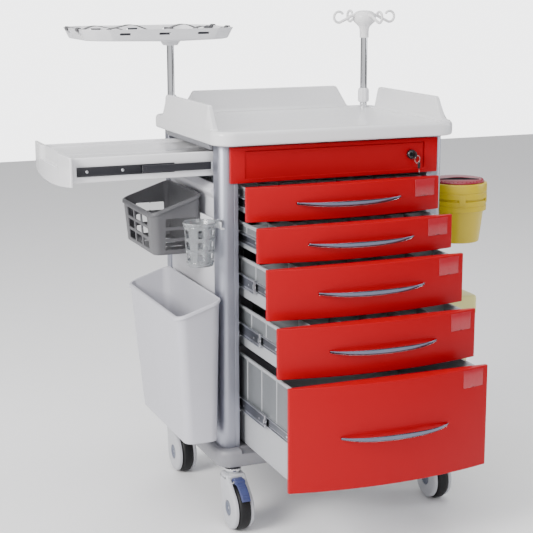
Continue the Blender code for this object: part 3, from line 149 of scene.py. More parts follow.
def fillet(corners, radii, steps=5):
    """Round a closed outline: each corner becomes an arc of its radius, tangent to both sides.

    The arc's centre lies on the corner's bisector at radius / sin(half the angle).
    """
    p = np.asarray(corners, float)
    radii = np.broadcast_to(np.asarray(radii, float), (len(p),))
    back = np.roll(p, 1, 0) - p
    ahead = np.roll(p, -1, 0) - p
    a = back / np.linalg.norm(back, axis=1, keepdims=True)
    b = ahead / np.linalg.norm(ahead, axis=1, keepdims=True)
    half = 0.5 * np.arccos(np.clip((a * b).sum(1), -1, 1))
    out = a + b
    size = np.linalg.norm(out, axis=1, keepdims=True)
    out = np.where(size > 1e-9, out / np.maximum(size, 1e-9), 0.0)
    reach = (radii / np.tan(np.maximum(half, 1e-6)))[:, None]
    centre = p + out * (radii / np.maximum(np.sin(half), 1e-6))[:, None]
    start = p + a * reach - centre
    end = p + b * reach - centre
    t = np.linspace(0, 1, steps + 1)[None, :, None]
    turn = (math.pi - 2 * half)[:, None, None]
    lean = np.sin(np.maximum(turn, 1e-9))
    arc = (np.sin((1 - t) * turn) * start[:, None] + np.sin(t * turn) * end[:, None]) / lean
    straight = (1 - t) * start[:, None] + t * end[:, None]
    arc = np.where(turn > 1e-4, arc, straight) + centre[:, None]
    points = arc.reshape(-1, 2)
    keep = np.linalg.norm(points - np.roll(points, 1, 0), axis=1) > 1e-7
    return points[keep]


def inset(outline, distance):
    """Move each point of a counterclockwise outline inwards, square to its two neighbours."""
    along = np.roll(outline, -1, 0) - np.roll(outline, 1, 0)
    along /= np.maximum(np.linalg.norm(along, axis=1, keepdims=True), 1e-12)
    return outline + np.stack([-along[:, 1], along[:, 0]], 1) * distance


def counterclockwise(outline):
    """The outline, turned round if it runs clockwise (its signed area is negative)."""
    x, y = outline.T
    area = (x * np.roll(y, -1) - np.roll(x, -1) * y).sum()
    return outline if area > 0 else outline[::-1]


def on_axis(flat, along, axis):
    """Points of a plane across an axis, in X, Y, Z order, lifted to `along` on that axis."""
    full = np.concatenate([flat, np.broadcast_to(along, flat.shape[:-1] + (1,))], -1)
    return full[..., {"X": [2, 0, 1], "Y": [0, 2, 1], "Z": [0, 1, 2]}[axis]]


def loft(rings, cap=True, wrap=False):
    """A skin over rings of equal point counts (M, N, 3): quads between neighbours, flat caps.

    Faces are turned outwards: six times the volume is the sum of a . (b x c) over triangles.
    """
    rings = np.asarray(rings, float)
    m, n = rings.shape[:2]
    k = np.arange(m if wrap else m - 1)[:, None]
    i = np.arange(n)[None, :]
    nxt = (k + 1) % m
    j = (i + 1) % n
    quads = np.stack([k * n + i, k * n + j, nxt * n + j, nxt * n + i], -1).reshape(-1, 4)
    points = rings.reshape(-1, 3)
    a, b, c, d = (points[quads] - points.mean(0)).transpose(1, 0, 2)
    volume = (a * np.cross(b, c) + a * np.cross(c, d)).sum()
    faces = quads.tolist()
    if cap and not wrap:
        first, last = rings[0] - points.mean(0), rings[-1] - points.mean(0)
        volume -= first[0] @ np.cross(first, np.roll(first, -1, 0)).sum(0)
        volume += last[0] @ np.cross(last, np.roll(last, -1, 0)).sum(0)
        faces.append(list(range(n))[::-1])
        faces.append(list(range((m - 1) * n, m * n)))
    return points, faces if volume > 0 else [face[::-1] for face in faces]


def edge_steps(radius, steps=4):
    """Inset and rise of a quarter-round edge: radius times 1 - sin and 1 - cos of the angle."""
    t = np.linspace(0, math.pi / 2, steps + 1)
    return np.stack([radius * (1 - np.sin(t)), radius * (1 - np.cos(t))], 1)


def slab(outline, axis, start, end, edge=mm(1.0), steps=4):
    """An outline carried along an axis from start to end, both ends' edges rounded."""
    outline = counterclockwise(np.asarray(outline, float))
    rise = edge_steps(edge, steps)
    rings = [on_axis(inset(outline, a), start + b, axis) for a, b in rise]
    rings += [on_axis(inset(outline, a), end - b, axis) for a, b in rise[::-1]]
    return loft(rings)


def brick(low, high, corner=mm(2.0), edge=mm(0.8), axis="Z", steps=4):
    """A box with rounded upright corners and rounded edges, its corners square to `axis`."""
    keep = {"X": (1, 2), "Y": (0, 2), "Z": (0, 1)}[axis]
    (a0, b0), (a1, b1) = [[p[k] for k in keep] for p in (low, high)]
    outline = fillet([(a0, b0), (a1, b0), (a1, b1), (a0, b1)], corner, steps)
    k = "XYZ".index(axis)
    return slab(outline, axis, low[k], high[k], edge, 3)


def turned(profile, axis, centre, count=48, cap=True, wrap=False):
    """A profile of (radius, height) carried round an axis through centre."""
    t = np.linspace(0, 2 * math.pi, count, endpoint=False)
    profile = np.asarray(profile, float)
    round_ = np.stack([np.cos(t), np.sin(t)], -1)[None] * profile[:, None, :1]
    return loft(on_axis(round_ + np.asarray(centre), profile[:, None, 1:], axis), cap, wrap)


def tube(path, radius, count=12, closed=False):
    """A round section carried along a path; its frame turns least from point to point."""
    path = np.asarray(path, float)
    if closed:
        along = np.roll(path, -1, 0) - np.roll(path, 1, 0)
    else:
        along = np.gradient(path, axis=0)
    along /= np.linalg.norm(along, axis=1, keepdims=True)
    spin = along[0]
    side = np.cross(spin, [0.0, 0.0, 1.0] if abs(spin[2]) < 0.9 else [1.0, 0.0, 0.0])
    sides = []
    for direction in along:
        side = side - direction * side.dot(direction)
        side /= np.linalg.norm(side)
        sides.append(side)
    sides = np.array(sides)
    ups = np.cross(along, sides)
    t = np.linspace(0, 2 * math.pi, count, endpoint=False)[None, :, None]
    radius = np.broadcast_to(np.asarray(radius, float), (len(path),))[:, None, None]
    rings = path[:, None] + radius * (np.cos(t) * sides[:, None] + np.sin(t) * ups[:, None])
    return loft(rings, not closed, closed)


def smooth_path(points, count=60):
    """A Catmull-Rom curve through the points, sampled evenly in its parameter."""
    p = np.asarray(points, float)
    p = np.concatenate([[2 * p[0] - p[1]], p, [2 * p[-1] - p[-2]]])
    u = np.linspace(0, len(p) - 3 - 1e-9, count)
    k = u.astype(int)
    f = (u - k)[:, None]
    a, b, c, d = p[k], p[k + 1], p[k + 2], p[k + 3]
    return 0.5 * (2 * b + (c - a) * f + (2 * a - 5 * b + 4 * c - d) * f ** 2
                  + (3 * b - a - 3 * c + d) * f ** 3)


def spun(shape, angle, centre):
    """The same surface turned by `angle` about the vertical, then set down at `centre` (x, y)."""
    turn = np.array([[math.cos(angle), math.sin(angle), 0], [-math.sin(angle), math.cos(angle), 0],
                     [0, 0, 1]])
    return shape[0] @ turn + [*centre, 0], shape[1]


def mirrored(shape, middle):
    """The same surface mirrored in x = middle, its faces turned back outwards."""
    points = shape[0].copy()
    points[:, 0] = 2 * middle - points[:, 0]
    return points, [list(face)[::-1] for face in shape[1]]


def piece(name, body, shapes, replaces=(), sharp=35.0):
    """Put (surface, material) pairs into one object that rides on a CAD body."""
    points = []
    faces = []
    looks = []
    slots = []
    start = 0
    for (shape_points, shape_faces), material in shapes:
        if material not in looks:
            looks.append(material)
        points.append(shape_points)
        faces += [[start + v for v in face] for face in shape_faces]
        slots += [looks.index(material)] * len(shape_faces)
        start += len(shape_points)
    mesh = bpy.data.meshes.new(name)
    mesh.from_pydata(np.concatenate(points).tolist(), [], faces)
    for material in looks:
        mesh.materials.append(material)
    mesh.polygons.foreach_set("material_index", slots)
    mesh.polygons.foreach_set("use_smooth", [True] * len(faces))
    mesh.set_sharp_from_angle(angle=math.radians(sharp))
    mesh.update()
    obj = bpy.data.objects.new(name, mesh)
    bpy.context.scene.collection.objects.link(obj)
    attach(obj, body)
    if replaces:
        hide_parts(*replaces)
    return obj


# Structural foam: mid grey, fine spark grain, satin.
base_foam = moulded("structural_foam_base", "7B7B80", 0.42, mm(0.7), mm(0.05))
(bx0, by0, bz0), (bx1, by1, bz1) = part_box("base_tray")
front_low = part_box("drawer_5_front")[0][2]
middle = (bx0 + bx1) / 2
front_half = (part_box("drawer_5_front")[1][0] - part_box("drawer_5_front")[0][0]) / 2


def base_shape():
    """Rim rings: an underside set in 8 mm, a bulged side and a rounded top edge, closed flat."""
    outer = fillet([(bx0, by0), (bx1, by0), (bx1, by1), (bx0, by1)], mm(35), 12)
    steps = [(8, 0), (4.5, 0.6), (1.6, 2.6), (0.4, 6), (0, 12), (0, 24), (0.5, 30), (2.2, 34.8),
             (4.6, 37.6), (7.5, 38.5)]
    tall = (bz1 - bz0) / mm(38.5)
    rings = [on_axis(inset(counterclockwise(outer), mm(a)), bz0 + mm(b) * tall, "Z") for a, b in steps]
    return loft(rings)


def carved(shape, *tools):
    """Take closed surfaces away from a closed surface with exact Booleans."""
    made = []
    for points, faces in (shape, *tools):
        mesh = bpy.data.meshes.new("tool")
        mesh.from_pydata(points.tolist(), [], faces)
        obj = bpy.data.objects.new("tool", mesh)
        bpy.context.scene.collection.objects.link(obj)
        made.append(obj)
    for tool in made[1:]:
        change = made[0].modifiers.new("change", "BOOLEAN")
        change.operation = "DIFFERENCE"
        change.solver = "EXACT"
        change.object = tool
    bpy.context.view_layer.update()
    result = made[0].evaluated_get(bpy.context.evaluated_depsgraph_get()).to_mesh()
    points = np.empty(len(result.vertices) * 3)
    result.vertices.foreach_get("co", points)
    faces = [list(p.vertices) for p in result.polygons]
    for obj in made:
        bpy.data.objects.remove(obj, do_unlink=True)
    return points.reshape(-1, 3), faces


lip_top = front_low - mm(2)
column_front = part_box("column_front_left")[0][1]
under_drawer = brick((middle - front_half - mm(2), by0 - mm(20), lip_top),
                     (middle + front_half + mm(2), column_front - mm(0.4), bz1 + mm(20)), mm(3), mm(1))
piece("base_moulding", "cabinet",
      [(carved(base_shape(), under_drawer), base_foam)], ["base_tray"])


# ------------------------------------------------------------------ columns
# Four hollow aluminium extrusions with a large outer radius stand on the base.  They are
# satin-anodised, with faint draw lines along their length; the front pair has a shadow groove,
# and the rear pair is bored for the two poles.
def drawn_metal(name, colour, roughness, line, depth, axis="Z", wear_and_highlight=0.15, metallic=1.0):
    """A drawn or rolled metal: fine lines along one axis in roughness and bump, slow tone drift.

    line is the spacing of the draw lines in metres; the noise is stretched 60 times along them.
    """
    made = bpy.data.materials.new(name)
    made.use_nodes = True
    tree = made.node_tree
    shader = tree.nodes["Principled BSDF"]
    shader.inputs["Metallic"].default_value = metallic
    place = node(tree, "ShaderNodeTexCoord").outputs["Object"]
    scale = [1.0 / line] * 3
    scale["XYZ".index(axis)] = 1.0 / (line * 60)
    along = node(tree, "ShaderNodeMapping", {"Scale": scale}, Vector=place)
    lines = node(tree, "ShaderNodeTexNoise", {"Scale": 1.0, "Detail": 4.0}, Vector=along.outputs[0])
    slow = node(tree, "ShaderNodeTexNoise", {"Scale": 11.0, "Detail": 3.0}, Vector=place)
    base = np.array(linear(colour)[:3])
    tone = node(tree, "ShaderNodeMix", {"data_type": "RGBA", 6: (*(base * 0.93), 1.0),
                                        7: (*np.clip(base * 1.05, 0, 1), 1.0)}, i0=slow.outputs["Fac"])
    soft, edge = edge_mask(tree, mm(0.7), 4, wear_and_highlight)
    # Edges pale towards near-white: edge wear, and a painted highlight on rounded edges where strong.
    bright = node(tree, "ShaderNodeMix", {"data_type": "RGBA", 7: (0.95, 0.95, 0.96, 1.0)},
                  i0=edge, i6=tone.outputs[2])
    tree.links.new(bright.outputs[2], shader.inputs["Base Color"])
    rough = node(tree, "ShaderNodeMapRange", {"To Min": roughness * 0.75, "To Max": roughness * 1.3},
                 Value=lines.outputs["Fac"])
    tree.links.new(rough.outputs["Result"], shader.inputs["Roughness"])
    bump = node(tree, "ShaderNodeBump", {"Strength": 0.5, "Distance": depth},
                Height=lines.outputs["Fac"], Normal=soft)
    tree.links.new(bump.outputs["Normal"], shader.inputs["Normal"])
    return made


# Satin-anodised aluminium: soft grey-white, blurred highlights drawn out lengthwise.
anodised = drawn_metal("satin_anodised_aluminium", "A9ABB6", 0.46, mm(0.6), mm(0.02))


def column_section(low, high, rear):
    """Square outline in plan: radius 18 mm outside, a 1.6 by 0.9 mm shadow groove in front."""
    x0, x1, y0, y1 = low[0], high[0], low[1], high[1]
    if rear:
        return fillet([(x0, y0), (x1, y0), (x1, y1), (x0, y1)], mm(np.array([1.5, 1.5, 18, 1.5])), 10)
    g = x0 + mm(9)
    corners = [(x0, y0), (g, y0), (g + mm(0.2), y0 + mm(0.9)), (g + mm(1.4), y0 + mm(0.9)),
               (g + mm(1.6), y0), (x1, y0), (x1, y1), (x0, y1)]
    return fillet(corners, mm(np.array([1.5, 0.25, 0.2, 0.2, 0.25, 18, 1.5, 1.5])), 10)


pole_r = (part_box("iv_rod")[1][0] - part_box("iv_rod")[0][0]) / 2
for row in ("front", "rear"):
    low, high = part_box(f"column_{row}_right")
    extrusion = slab(column_section(low, high, row == "rear"), "Z", low[2], high[2], mm(0.3), 2)
    if row == "rear":
        rod_low, rod_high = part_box("iv_rod")
        at = ((rod_low[0] + rod_high[0]) / 2, (rod_low[1] + rod_high[1]) / 2)
        bore = turned([(pole_r + mm(0.8), low[2] - 0.01), (pole_r + mm(0.8), high[2] + 0.01)], "Z", at, 32)
        extrusion = carved(extrusion, bore)
    piece(f"column_{row}_right_extrusion", "cabinet", [(extrusion, anodised)],
          [f"column_{row}_right"])
    piece(f"column_{row}_left_extrusion", "cabinet",
          [(mirrored(extrusion, middle), anodised)], [f"column_{row}_left"])


# ------------------------------------------------------------------ side and back panels
# Light grey moulded side panels slot in between the columns.  Horizontal grooves stiffen them,
# a sloped ledge closes the left one under the pull-out shelf, and folded steel rails are
# screwed on outside, the drawers' zinc-plated slide channels inside.
panel_abs = moulded("fine_grained_abs_panel", "C6C6CB", 0.46, mm(0.5), mm(0.04))
rail_steel = moulded("powder_coated_steel_rail", "DADBDF", 0.38, mm(0.35), mm(0.03), wear_and_highlight=0.4)
zinc = drawn_metal("zinc_plated_slide_steel", "C2C4C9", 0.30, mm(0.5), mm(0.015), "Y", wear_and_highlight=0.3)
black_slide = drawn_metal("black_painted_slide_steel", "24242A", 0.30, mm(0.5), mm(0.015), "X",
                          wear_and_highlight=0.5, metallic=0.35)


def channel(near, far, z, half, y0, y1, sheet=mm(1.2)):
    """A slide member: a web at `near` with two rolled flanges that reach towards `far`."""
    w = 1 if far > near else -1
    t = sheet * w
    section = [(near, z - half), (far, z - half), (far, z - half + sheet * 1.6),
               (near + t, z - half + sheet * 1.3), (near + t, z + half - sheet * 1.3),
               (far, z + half - sheet * 1.6), (far, z + half), (near, z + half)]
    return slab(fillet(section, mm(0.45), 3), "Y", y0, y1, mm(0.25), 2)


front_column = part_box("column_front_right")
rear_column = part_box("column_rear_right")
panel_y = (front_column[1][1] + mm(0.3), rear_column[0][1] - mm(0.3))
outer_x = front_column[1][0]                  # outer face of the right columns
inner_x = front_column[0][0]
panel_face = outer_x - mm(3.7)
panel_back = panel_face - mm(8)
shelf_z = (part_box("shelf_middle_rail_front")[0][2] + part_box("shelf_middle_rail_front")[1][2]) / 2
top_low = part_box("column_front_right")[1][2]
ledge_z = top_low + mm(0.3) - mm(89)


def panel_section(top, ledge):
    """Panel seen along Y: V grooves 4 mm wide and 2 mm deep every 70 mm, and the sloped ledge."""
    points = [(panel_back, bz1 + mm(0.3)), (panel_face, bz1 + mm(0.3))]
    radii = [0.5, 1.0]
    z = bz1 + mm(56)
    while z < ledge_z - mm(60):
        points += [(panel_face, z - mm(2.4)), (panel_face - mm(2), z), (panel_face, z + mm(2.4))]
        radii += [0.9, 0.5, 0.9]
        z += mm(70)
    points += [(panel_face, ledge_z - mm(30)), (panel_face + mm(10), ledge_z - mm(17)),
               (panel_face + mm(10), ledge_z - mm(10)), (panel_face - mm(2), ledge_z)]
    radii += [3.0, 2.5, 2.0, 1.0]
    if not ledge:
        points += [(panel_face - mm(2), top)]
        radii += [1.0]
    points += [(panel_back, top)]
    radii += [1.0]
    return fillet(points, mm(np.array(radii)), 5)


def rail(bottom, y0, y1):
    """Folded J rail: 9 mm out, 16 mm up, 2.5 mm sheet with rounded folds."""
    x0 = outer_x + mm(1.2)
    x1 = x0 + mm(9)
    t = mm(2.5)
    section = [(x0, bottom), (x1, bottom), (x1, bottom + mm(16)), (x1 - t, bottom + mm(16)),
               (x1 - t, bottom + t), (x0, bottom + t)]
    shapes = [slab(fillet(section, mm(np.array([0.4, 2.6, 1.1, 1.1, 0.5, 0.4])), 5), "Y", y0, y1, mm(0.8))]
    for y in (panel_y[0] + mm(20), panel_y[1] - mm(50)):
        shapes.append(brick((panel_face - mm(1), y, bottom - mm(6)), (x0 + mm(1), y + mm(30), bottom + mm(2)),
                            mm(1.5), mm(0.8), "X"))
        head = [(mm(0.2), x0 - mm(0.2)), (mm(3.4), x0 - mm(0.2)), (mm(3.2), x0 + mm(1.0)),
                (mm(2.0), x0 + mm(1.7)), (mm(0.2), x0 + mm(1.9))]
        shapes.append(turned([(r, h + mm(0.6)) for r, h in head], "X", (y + mm(15), bottom - mm(2.6)), 16))
    return shapes


drawer_boxes = [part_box(f"drawer_{n}_box") for n in range(1, 6)]
slide_z = []
for n, (low, high) in enumerate(drawer_boxes, 1):
    floor = low[2]
    lip = high[2] - mm(4)
    slide_z.append(floor + 0.47 * (lip - floor))
slide_start = front_column[0][1] + mm(4)
rail_low, rail_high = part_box("drawer_3_middle_rail_left")
fixed_end = slide_start + rail_high[1] - rail_low[1]
worktop_under = top_low + mm(0.3)
rails = {"left": ((worktop_under - mm(173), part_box("cup_holder")[0][1] + mm(15), panel_y[1] - mm(5)),
                  (worktop_under - mm(357), panel_y[0] - mm(20), panel_y[1] - mm(5))),
         "right": ((worktop_under - mm(173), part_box("sharps_container")[0][1] + mm(32),
                    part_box("sharps_container")[0][1] + mm(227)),
                   (worktop_under - mm(457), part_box("yellow_bin_lid")[0][1], panel_y[1] - mm(5)))}
for side in ("right", "left"):
    top = top_low if side == "right" else ledge_z
    shapes = [(slab(panel_section(top, side == "left"), "Y", *panel_y, mm(0.6)), panel_abs)]
    for z in slide_z:
        near = inner_x - mm(0.3)
        shapes.append((channel(near, near - mm(4.7), z, mm(15.5), slide_start, fixed_end), zinc))
        for y in (panel_y[0] + mm(10), panel_y[1] - mm(30)):
            shapes.append((brick((near - mm(1), y, z - mm(5)), (panel_back + mm(1), y + mm(20), z + mm(5)),
                                 mm(1), mm(0.4), "X"), zinc))
    for bottom, y0, y1 in rails[side]:
        shapes += [(shape, rail_steel) for shape in rail(bottom, y0, y1)]
    if side == "left":
        shapes = [(mirrored(shape, middle), look) for shape, look in shapes]
        for word, sign in (("front", -1), ("rear", 1)):
            low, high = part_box(f"shelf_middle_rail_{word}")
            y = (low[1], high[1]) if sign < 0 else (high[1], low[1])
            near = y[0] + sign * mm(4.3)
            start = 2 * middle - outer_x - mm(2.8)
            section = [(near, shelf_z - mm(10)), (near - sign * mm(4), shelf_z - mm(10)),
                       (near - sign * mm(4), shelf_z - mm(8.2)), (near - sign * mm(1.2), shelf_z - mm(8.6)),
                       (near - sign * mm(1.2), shelf_z + mm(8.6)), (near - sign * mm(4), shelf_z + mm(8.2)),
                       (near - sign * mm(4), shelf_z + mm(10)), (near, shelf_z + mm(10))]
            shapes.append((slab(fillet(section, mm(0.45), 3), "X", start, start + high[0] - low[0],
                                mm(0.3), 2),
                           zinc))
            shapes.append((brick((start + mm(14), min(near, near - sign * mm(3.5)), ledge_z - mm(10)),
                                 (start + mm(22), max(near, near - sign * mm(3.5)), shelf_z - mm(5)),
                                 mm(0.5), mm(0.3)), rail_steel))
    piece(f"side_panel_{side}_assembly", "cabinet", shapes, [f"side_panel_{side}"])


def pressed_sheet(low, high, margin, sink):
    """A panel with a raised field: it steps out by `sink` over a 7 mm slope inside its margin."""
    thick = (high[1] - low[1]) / mm(1) - sink
    levels = [(0.6, 0), (0, 0.5), (0, thick - 0.6), (0.6, thick), (margin, thick),
              (margin + 2, thick + sink * 0.2), (margin + 5, thick + sink * 0.9), (margin + 7, thick + sink)]
    rings = []
    for a, b in levels:
        x0, x1, z0, z1 = low[0] + mm(a), high[0] - mm(a), low[2] + mm(a), high[2] - mm(a)
        plan = fillet([(x0, z0), (x1, z0), (x1, z1), (x0, z1)], mm(2.0 + a * 0.5), 6)
        rings.append(on_axis(plan, low[1] + mm(b), "Y"))
    return loft(rings)


low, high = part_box("back_panel")
piece("back_panel_pressing", "cabinet",
      [(pressed_sheet(low, high, 24, 1.6), panel_abs)], ["back_panel"])


# ------------------------------------------------------------------ lock panel, lock and key
# A fixed glossy red panel closes the cabinet over the drawers.  Its middle is a field sunk by
# 1.5 mm with a shadow line on its right and top, where the cam lock sits with its key, a wire
# ring and a short bead chain with a black tag.
# High-gloss ABS front: deep red, a smooth surface over faint moulding drift.
front_red = moulded("high_gloss_abs_red", "A40010", 0.30, mm(8.0), mm(0.004), 0.02, 0.0, 0.0, 1.25)
low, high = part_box("lock_panel")
lock_low, lock_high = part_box("lock_barrel")
lock_x = (lock_low[0] + lock_high[0]) / 2
lock_z = (lock_low[2] + lock_high[2]) / 2
lock_r = (lock_high[0] - lock_low[0]) / 2
plate = brick(low, high, mm(1.5), mm(1.2), "Y")
field_x = (low[0] + mm(32), high[0] - mm(32))
field_z = (low[2] + mm(8), high[2] - mm(8))
face_y = low[1] + mm(1.5)
field = brick((field_x[0], low[1] - mm(5), field_z[0]), (field_x[1], face_y, field_z[1]), mm(3), mm(0.8), "Y")
right_line = brick((field_x[1] - mm(4), low[1] - mm(5), field_z[0] + mm(2)),
                   (field_x[1] - mm(0.6), face_y + mm(3), field_z[1] - mm(0.6)), mm(1), mm(0.5), "Y")
top_line = brick((field_x[0] + mm(2), low[1] - mm(5), field_z[1] - mm(2.6)),
                 (field_x[1] - mm(0.6), face_y + mm(2.2), field_z[1] - mm(0.6)), mm(0.9), mm(0.5), "Y")
hole = turned([(lock_r - mm(3), low[1] - 0.01), (lock_r - mm(3), high[1] + 0.01)], "Y", (lock_x, lock_z), 32)
piece("lock_panel_moulding", "cabinet",
      [(carved(plate, field, right_line, top_line, hole), front_red)], ["lock_panel"])

# Zinc die-cast, black lacquered: dark, with a painted grey sheen on its rounded rim from the pale edges.
lock_lacquer = moulded("black_lacquered_zinc", "17181C", 0.22, mm(0.8), mm(0.01), 0.1, 0.7, 0.5, 1.5)
key_nickel = drawn_metal("nickel_plated_key", "B9B7B2", 0.26, mm(0.3), mm(0.02), "Z", wear_and_highlight=0.5)
key_grip = moulded("black_overmoulded_grip", "141416", 0.42, mm(0.5), mm(0.04), 0.1, 0.3)
y = face_y - mm(0.3)
profile = [(lock_r - mm(3.5), high[1]), (lock_r - mm(3.5), y), (lock_r - mm(0.3), y), (lock_r, y - mm(0.5)),
           (lock_r, y - mm(6.2)), (lock_r - mm(0.5), y - mm(7.6)), (lock_r - mm(1.7), y - mm(8.6)),
           (lock_r - mm(3.0), y - mm(8.9)), (lock_r - mm(3.8), y - mm(8.4)), (lock_r - mm(4.2), y - mm(7.0)),
           (mm(1.0), y - mm(7.0))]
slot = turned([(mm(4.0), y - mm(12)), (mm(4.0), y - mm(2))], "Y", (lock_x, lock_z), 32)
piece("lock_barrel_casting", "cabinet",
      [(carved(turned(profile[::-1], "Y", (lock_x, lock_z), 48), slot), lock_lacquer)], ["lock_barrel"])

key_low, key_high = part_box("key")
bow_y = key_low[1] + mm(8.5)
blade = brick((lock_x - mm(0.6), bow_y + mm(5), lock_z - mm(3.6)),
              (lock_x + mm(0.6), key_high[1], lock_z + mm(3.6)),
              mm(0.5), mm(0.15), "X", 2)
t = np.linspace(0, 2 * math.pi, 40, endpoint=False)
oval = np.stack([bow_y + mm(8.4) * np.cos(t), lock_z + mm(8.4) * np.sin(t)], 1)
bow = slab(oval, "X", lock_x - mm(1.2), lock_x + mm(1.2), mm(0.5))
eye = turned([(mm(2.6), lock_x - 0.01), (mm(2.6), lock_x + 0.01)], "X", (bow_y - mm(2), lock_z - mm(3)), 24)


def ring_path(centre, radius, tilt, count=48):
    """A circle about centre: its plane is vertical, turned by tilt about the vertical."""
    t = np.linspace(0, 2 * math.pi, count, endpoint=False)
    across = np.array([math.cos(tilt), math.sin(tilt), 0.0])
    return np.asarray(centre) + radius * (np.cos(t)[:, None] * across + np.sin(t)[:, None] * [0.0, 0.0, 1.0])


key_ring = ring_path((lock_x + mm(5.5), bow_y - mm(2), lock_z - mm(9.5)), mm(8.2), 0.35)
tag_at = np.array([lock_x + mm(10.5), bow_y - mm(0.3), lock_z - mm(23)])
tag = brick(tag_at - mm(np.array([3.2, 1.1, 7])), tag_at + mm(np.array([3.2, 1.1, 7])), mm(1.8), mm(0.7), "Y")
beads = [turned(mm(np.stack([0.75 * np.sin(np.linspace(0.2, math.pi - 0.2, 7)),
                             -0.75 * np.cos(np.linspace(0.2, math.pi - 0.2, 7))], 1))
                + [0, tag_at[2] - mm(8.2 + 1.9 * k)], "Z", tag_at[:2] + mm(np.array([0.25 * k, -0.1 * k])),
                10)
         for k in range(6)]
link = tube(ring_path(tag_at + mm(np.array([0.2, 0, 7.6])), mm(1.6), 0.2, 20), mm(0.35), 6, True)
piece("key_with_tag", "key",
      [(blade, key_nickel), (carved(bow, eye), key_grip), (tube(key_ring, mm(0.5), 8, True), key_nickel),
       (link, key_nickel), (tag, key_grip)] + [(bead, key_nickel) for bead in beads], ["key"])


# ------------------------------------------------------------------ worktop
# One thick white ABS moulding: a rounded rim, a shallow sunk surface, and three guard walls
# with sloped ends.  Wedges under both sides close the gap down to the cabinet; their dark grey
# is painted shade, standing for the shaded underside of the white moulding.
# Glossy ABS, white: nearly smooth, a slow waviness and the faintest grain.
top_white = moulded("glossy_abs_white", "DEDEE0", 0.24, mm(1.2), mm(0.02), 0.015, 0.1, 0.25, 1.48)
# Painted shade: this grey stands for the white worktop's underside lying in shade.
underside_shade_grey = moulded("worktop_underside_painted_shade", "7E7F84", 0.5, mm(0.8), mm(0.05), 0.05, 0.2)
low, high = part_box("worktop")
under = top_low + mm(0.3)
rim = under + mm(30)
guard_top = high[2]
tx0, tx1, ty0, ty1 = low[0], high[0], low[1], high[1]


def worktop_rings():
    """Underside, rounded rim, flat border and sunk surface as insets of the plan outline."""
    outer = counterclockwise(fillet([(tx0, ty0), (tx1, ty0), (tx1, ty1), (tx0, ty1)],
                                    mm(np.array([45, 45, 36, 36])), 16))
    steps = [(30, 3), (10, 3), (9, 0), (5.5, 0), (2.6, 0.9), (0.9, 2.8), (0.2, 5.6), (0, 9), (0, 20.5),
             (0.3, 23.6), (1.2, 26.4), (3.0, 28.7), (5.5, 29.8), (8, 30), (20.5, 30), (21.4, 29.6),
             (22.4, 28.2), (23.4, 27.6), (25, 27.5)]
    return [on_axis(inset(outer, mm(a)), under + mm(b), "Z") for a, b in steps]


def guard_wall(run, across, outer, inner, lean):
    """Sections along a run of (station, height): one profile with its height scaled to each.

    depth runs from the outer face (0) to the inner (1); the outer face leans in by `lean` at
    full height, the inner one flares by 6 mm times (1 - h / 9 mm)^2 at its foot.
    """
    full = run[:, 1].max()
    t = np.linspace(0, math.pi / 2, 6)
    round_ = mm(2.6)
    wide = abs(inner - outer)
    up = np.concatenate([[0.0, full * 0.12, full * 0.5, full - mm(9)], full - round_ + round_ * np.sin(t)])
    out = np.concatenate([lean * up[:4] / full, lean + round_ * (1 - np.cos(t))])
    down = np.concatenate([full - round_ + round_ * np.cos(t), [full - mm(9), full * 0.5],
                           mm(np.array([9, 6, 3.5, 1.8, 0.7, 0.0]))])
    back = np.concatenate([wide - round_ + round_ * np.sin(t), np.full(2, wide),
                           wide + mm(6) * (1 - mm(np.array([9, 6, 3.5, 1.8, 0.7, 0.0])) / mm(9)) ** 2])
    depth = np.concatenate([[0.0], out, back, [wide + mm(6)]])
    rise = np.concatenate([[0.0], up, down, [0.0]])
    sunk = np.zeros(len(rise))
    sunk[[0, -1]] = mm(6)
    z = rim + rise[None] * run[:, 1:] / full - sunk[None]
    off = outer + np.sign(inner - outer) * depth[None] + 0 * z
    along = run[:, :1] + 0 * z
    return loft(np.stack([along, off, z] if across == "Y" else [off, along, z], -1))


def wall_run(start, top_start, top_end, end, tall):
    """Where the wall's top edge runs: two ramps, each bend an arc."""
    far = (mm(40), -mm(80))
    corners = [(start - far[0], far[1]), (end + far[0], far[1]), (end + far[0], 0), (end, 0),
               (top_end, tall), (top_start, tall), (start, 0), (start - far[0], 0)]
    points = fillet(corners, mm(np.array([0, 0, 0, 10, 8, 8, 10, 0])), 8)
    beside = (points[:, 0] > start - mm(20)) & (points[:, 0] < end + mm(20))
    points = points[beside & (points[:, 1] > -mm(0.001))]
    return points[np.argsort(points[:, 0])]


bores = [turned([(pole_r + mm(0.8), under - 0.01), (pole_r + mm(0.8), rim + 0.01)], "Z", (x, at[1]), 32)
         for x in (at[0], 2 * middle - at[0])]
tall = guard_top - rim
side_run = wall_run(ty0 + mm(47), ty0 + mm(79), ty1 - mm(85), ty1 - mm(66), tall)
foot = (tx1 - tx0) / 2 - mm(70)
back_run = wall_run(middle - foot, middle - foot + mm(30), middle + foot - mm(30), middle + foot, tall)
right_wall = guard_wall(side_run, "X", tx1 - mm(0.7), tx1 - mm(20), mm(9))
rear_wall = guard_wall(back_run, "Y", ty1 - mm(0.7), ty1 - mm(16.4), mm(2))
# The wedges carry the grey of painted shade under the worktop's rim.
wedge = fillet([(outer_x - mm(1), under + mm(1)), (tx1 - mm(9), under + mm(1)), (tx1 - mm(10), under - mm(4)),
                (outer_x + mm(4), under - mm(14)), (outer_x - mm(1), under - mm(14))], mm(1.0), 3)
strip = slab(wedge, "Y", panel_y[0] + mm(3), panel_y[1] - mm(3), mm(0.6))
piece("worktop_moulding", "cabinet",
      [(carved(loft(worktop_rings()), *bores), top_white), (right_wall, top_white),
       (mirrored(right_wall, middle), top_white), (rear_wall, top_white), (strip, underside_shade_grey),
       (mirrored(strip, middle), underside_shade_grey)], ["worktop"])
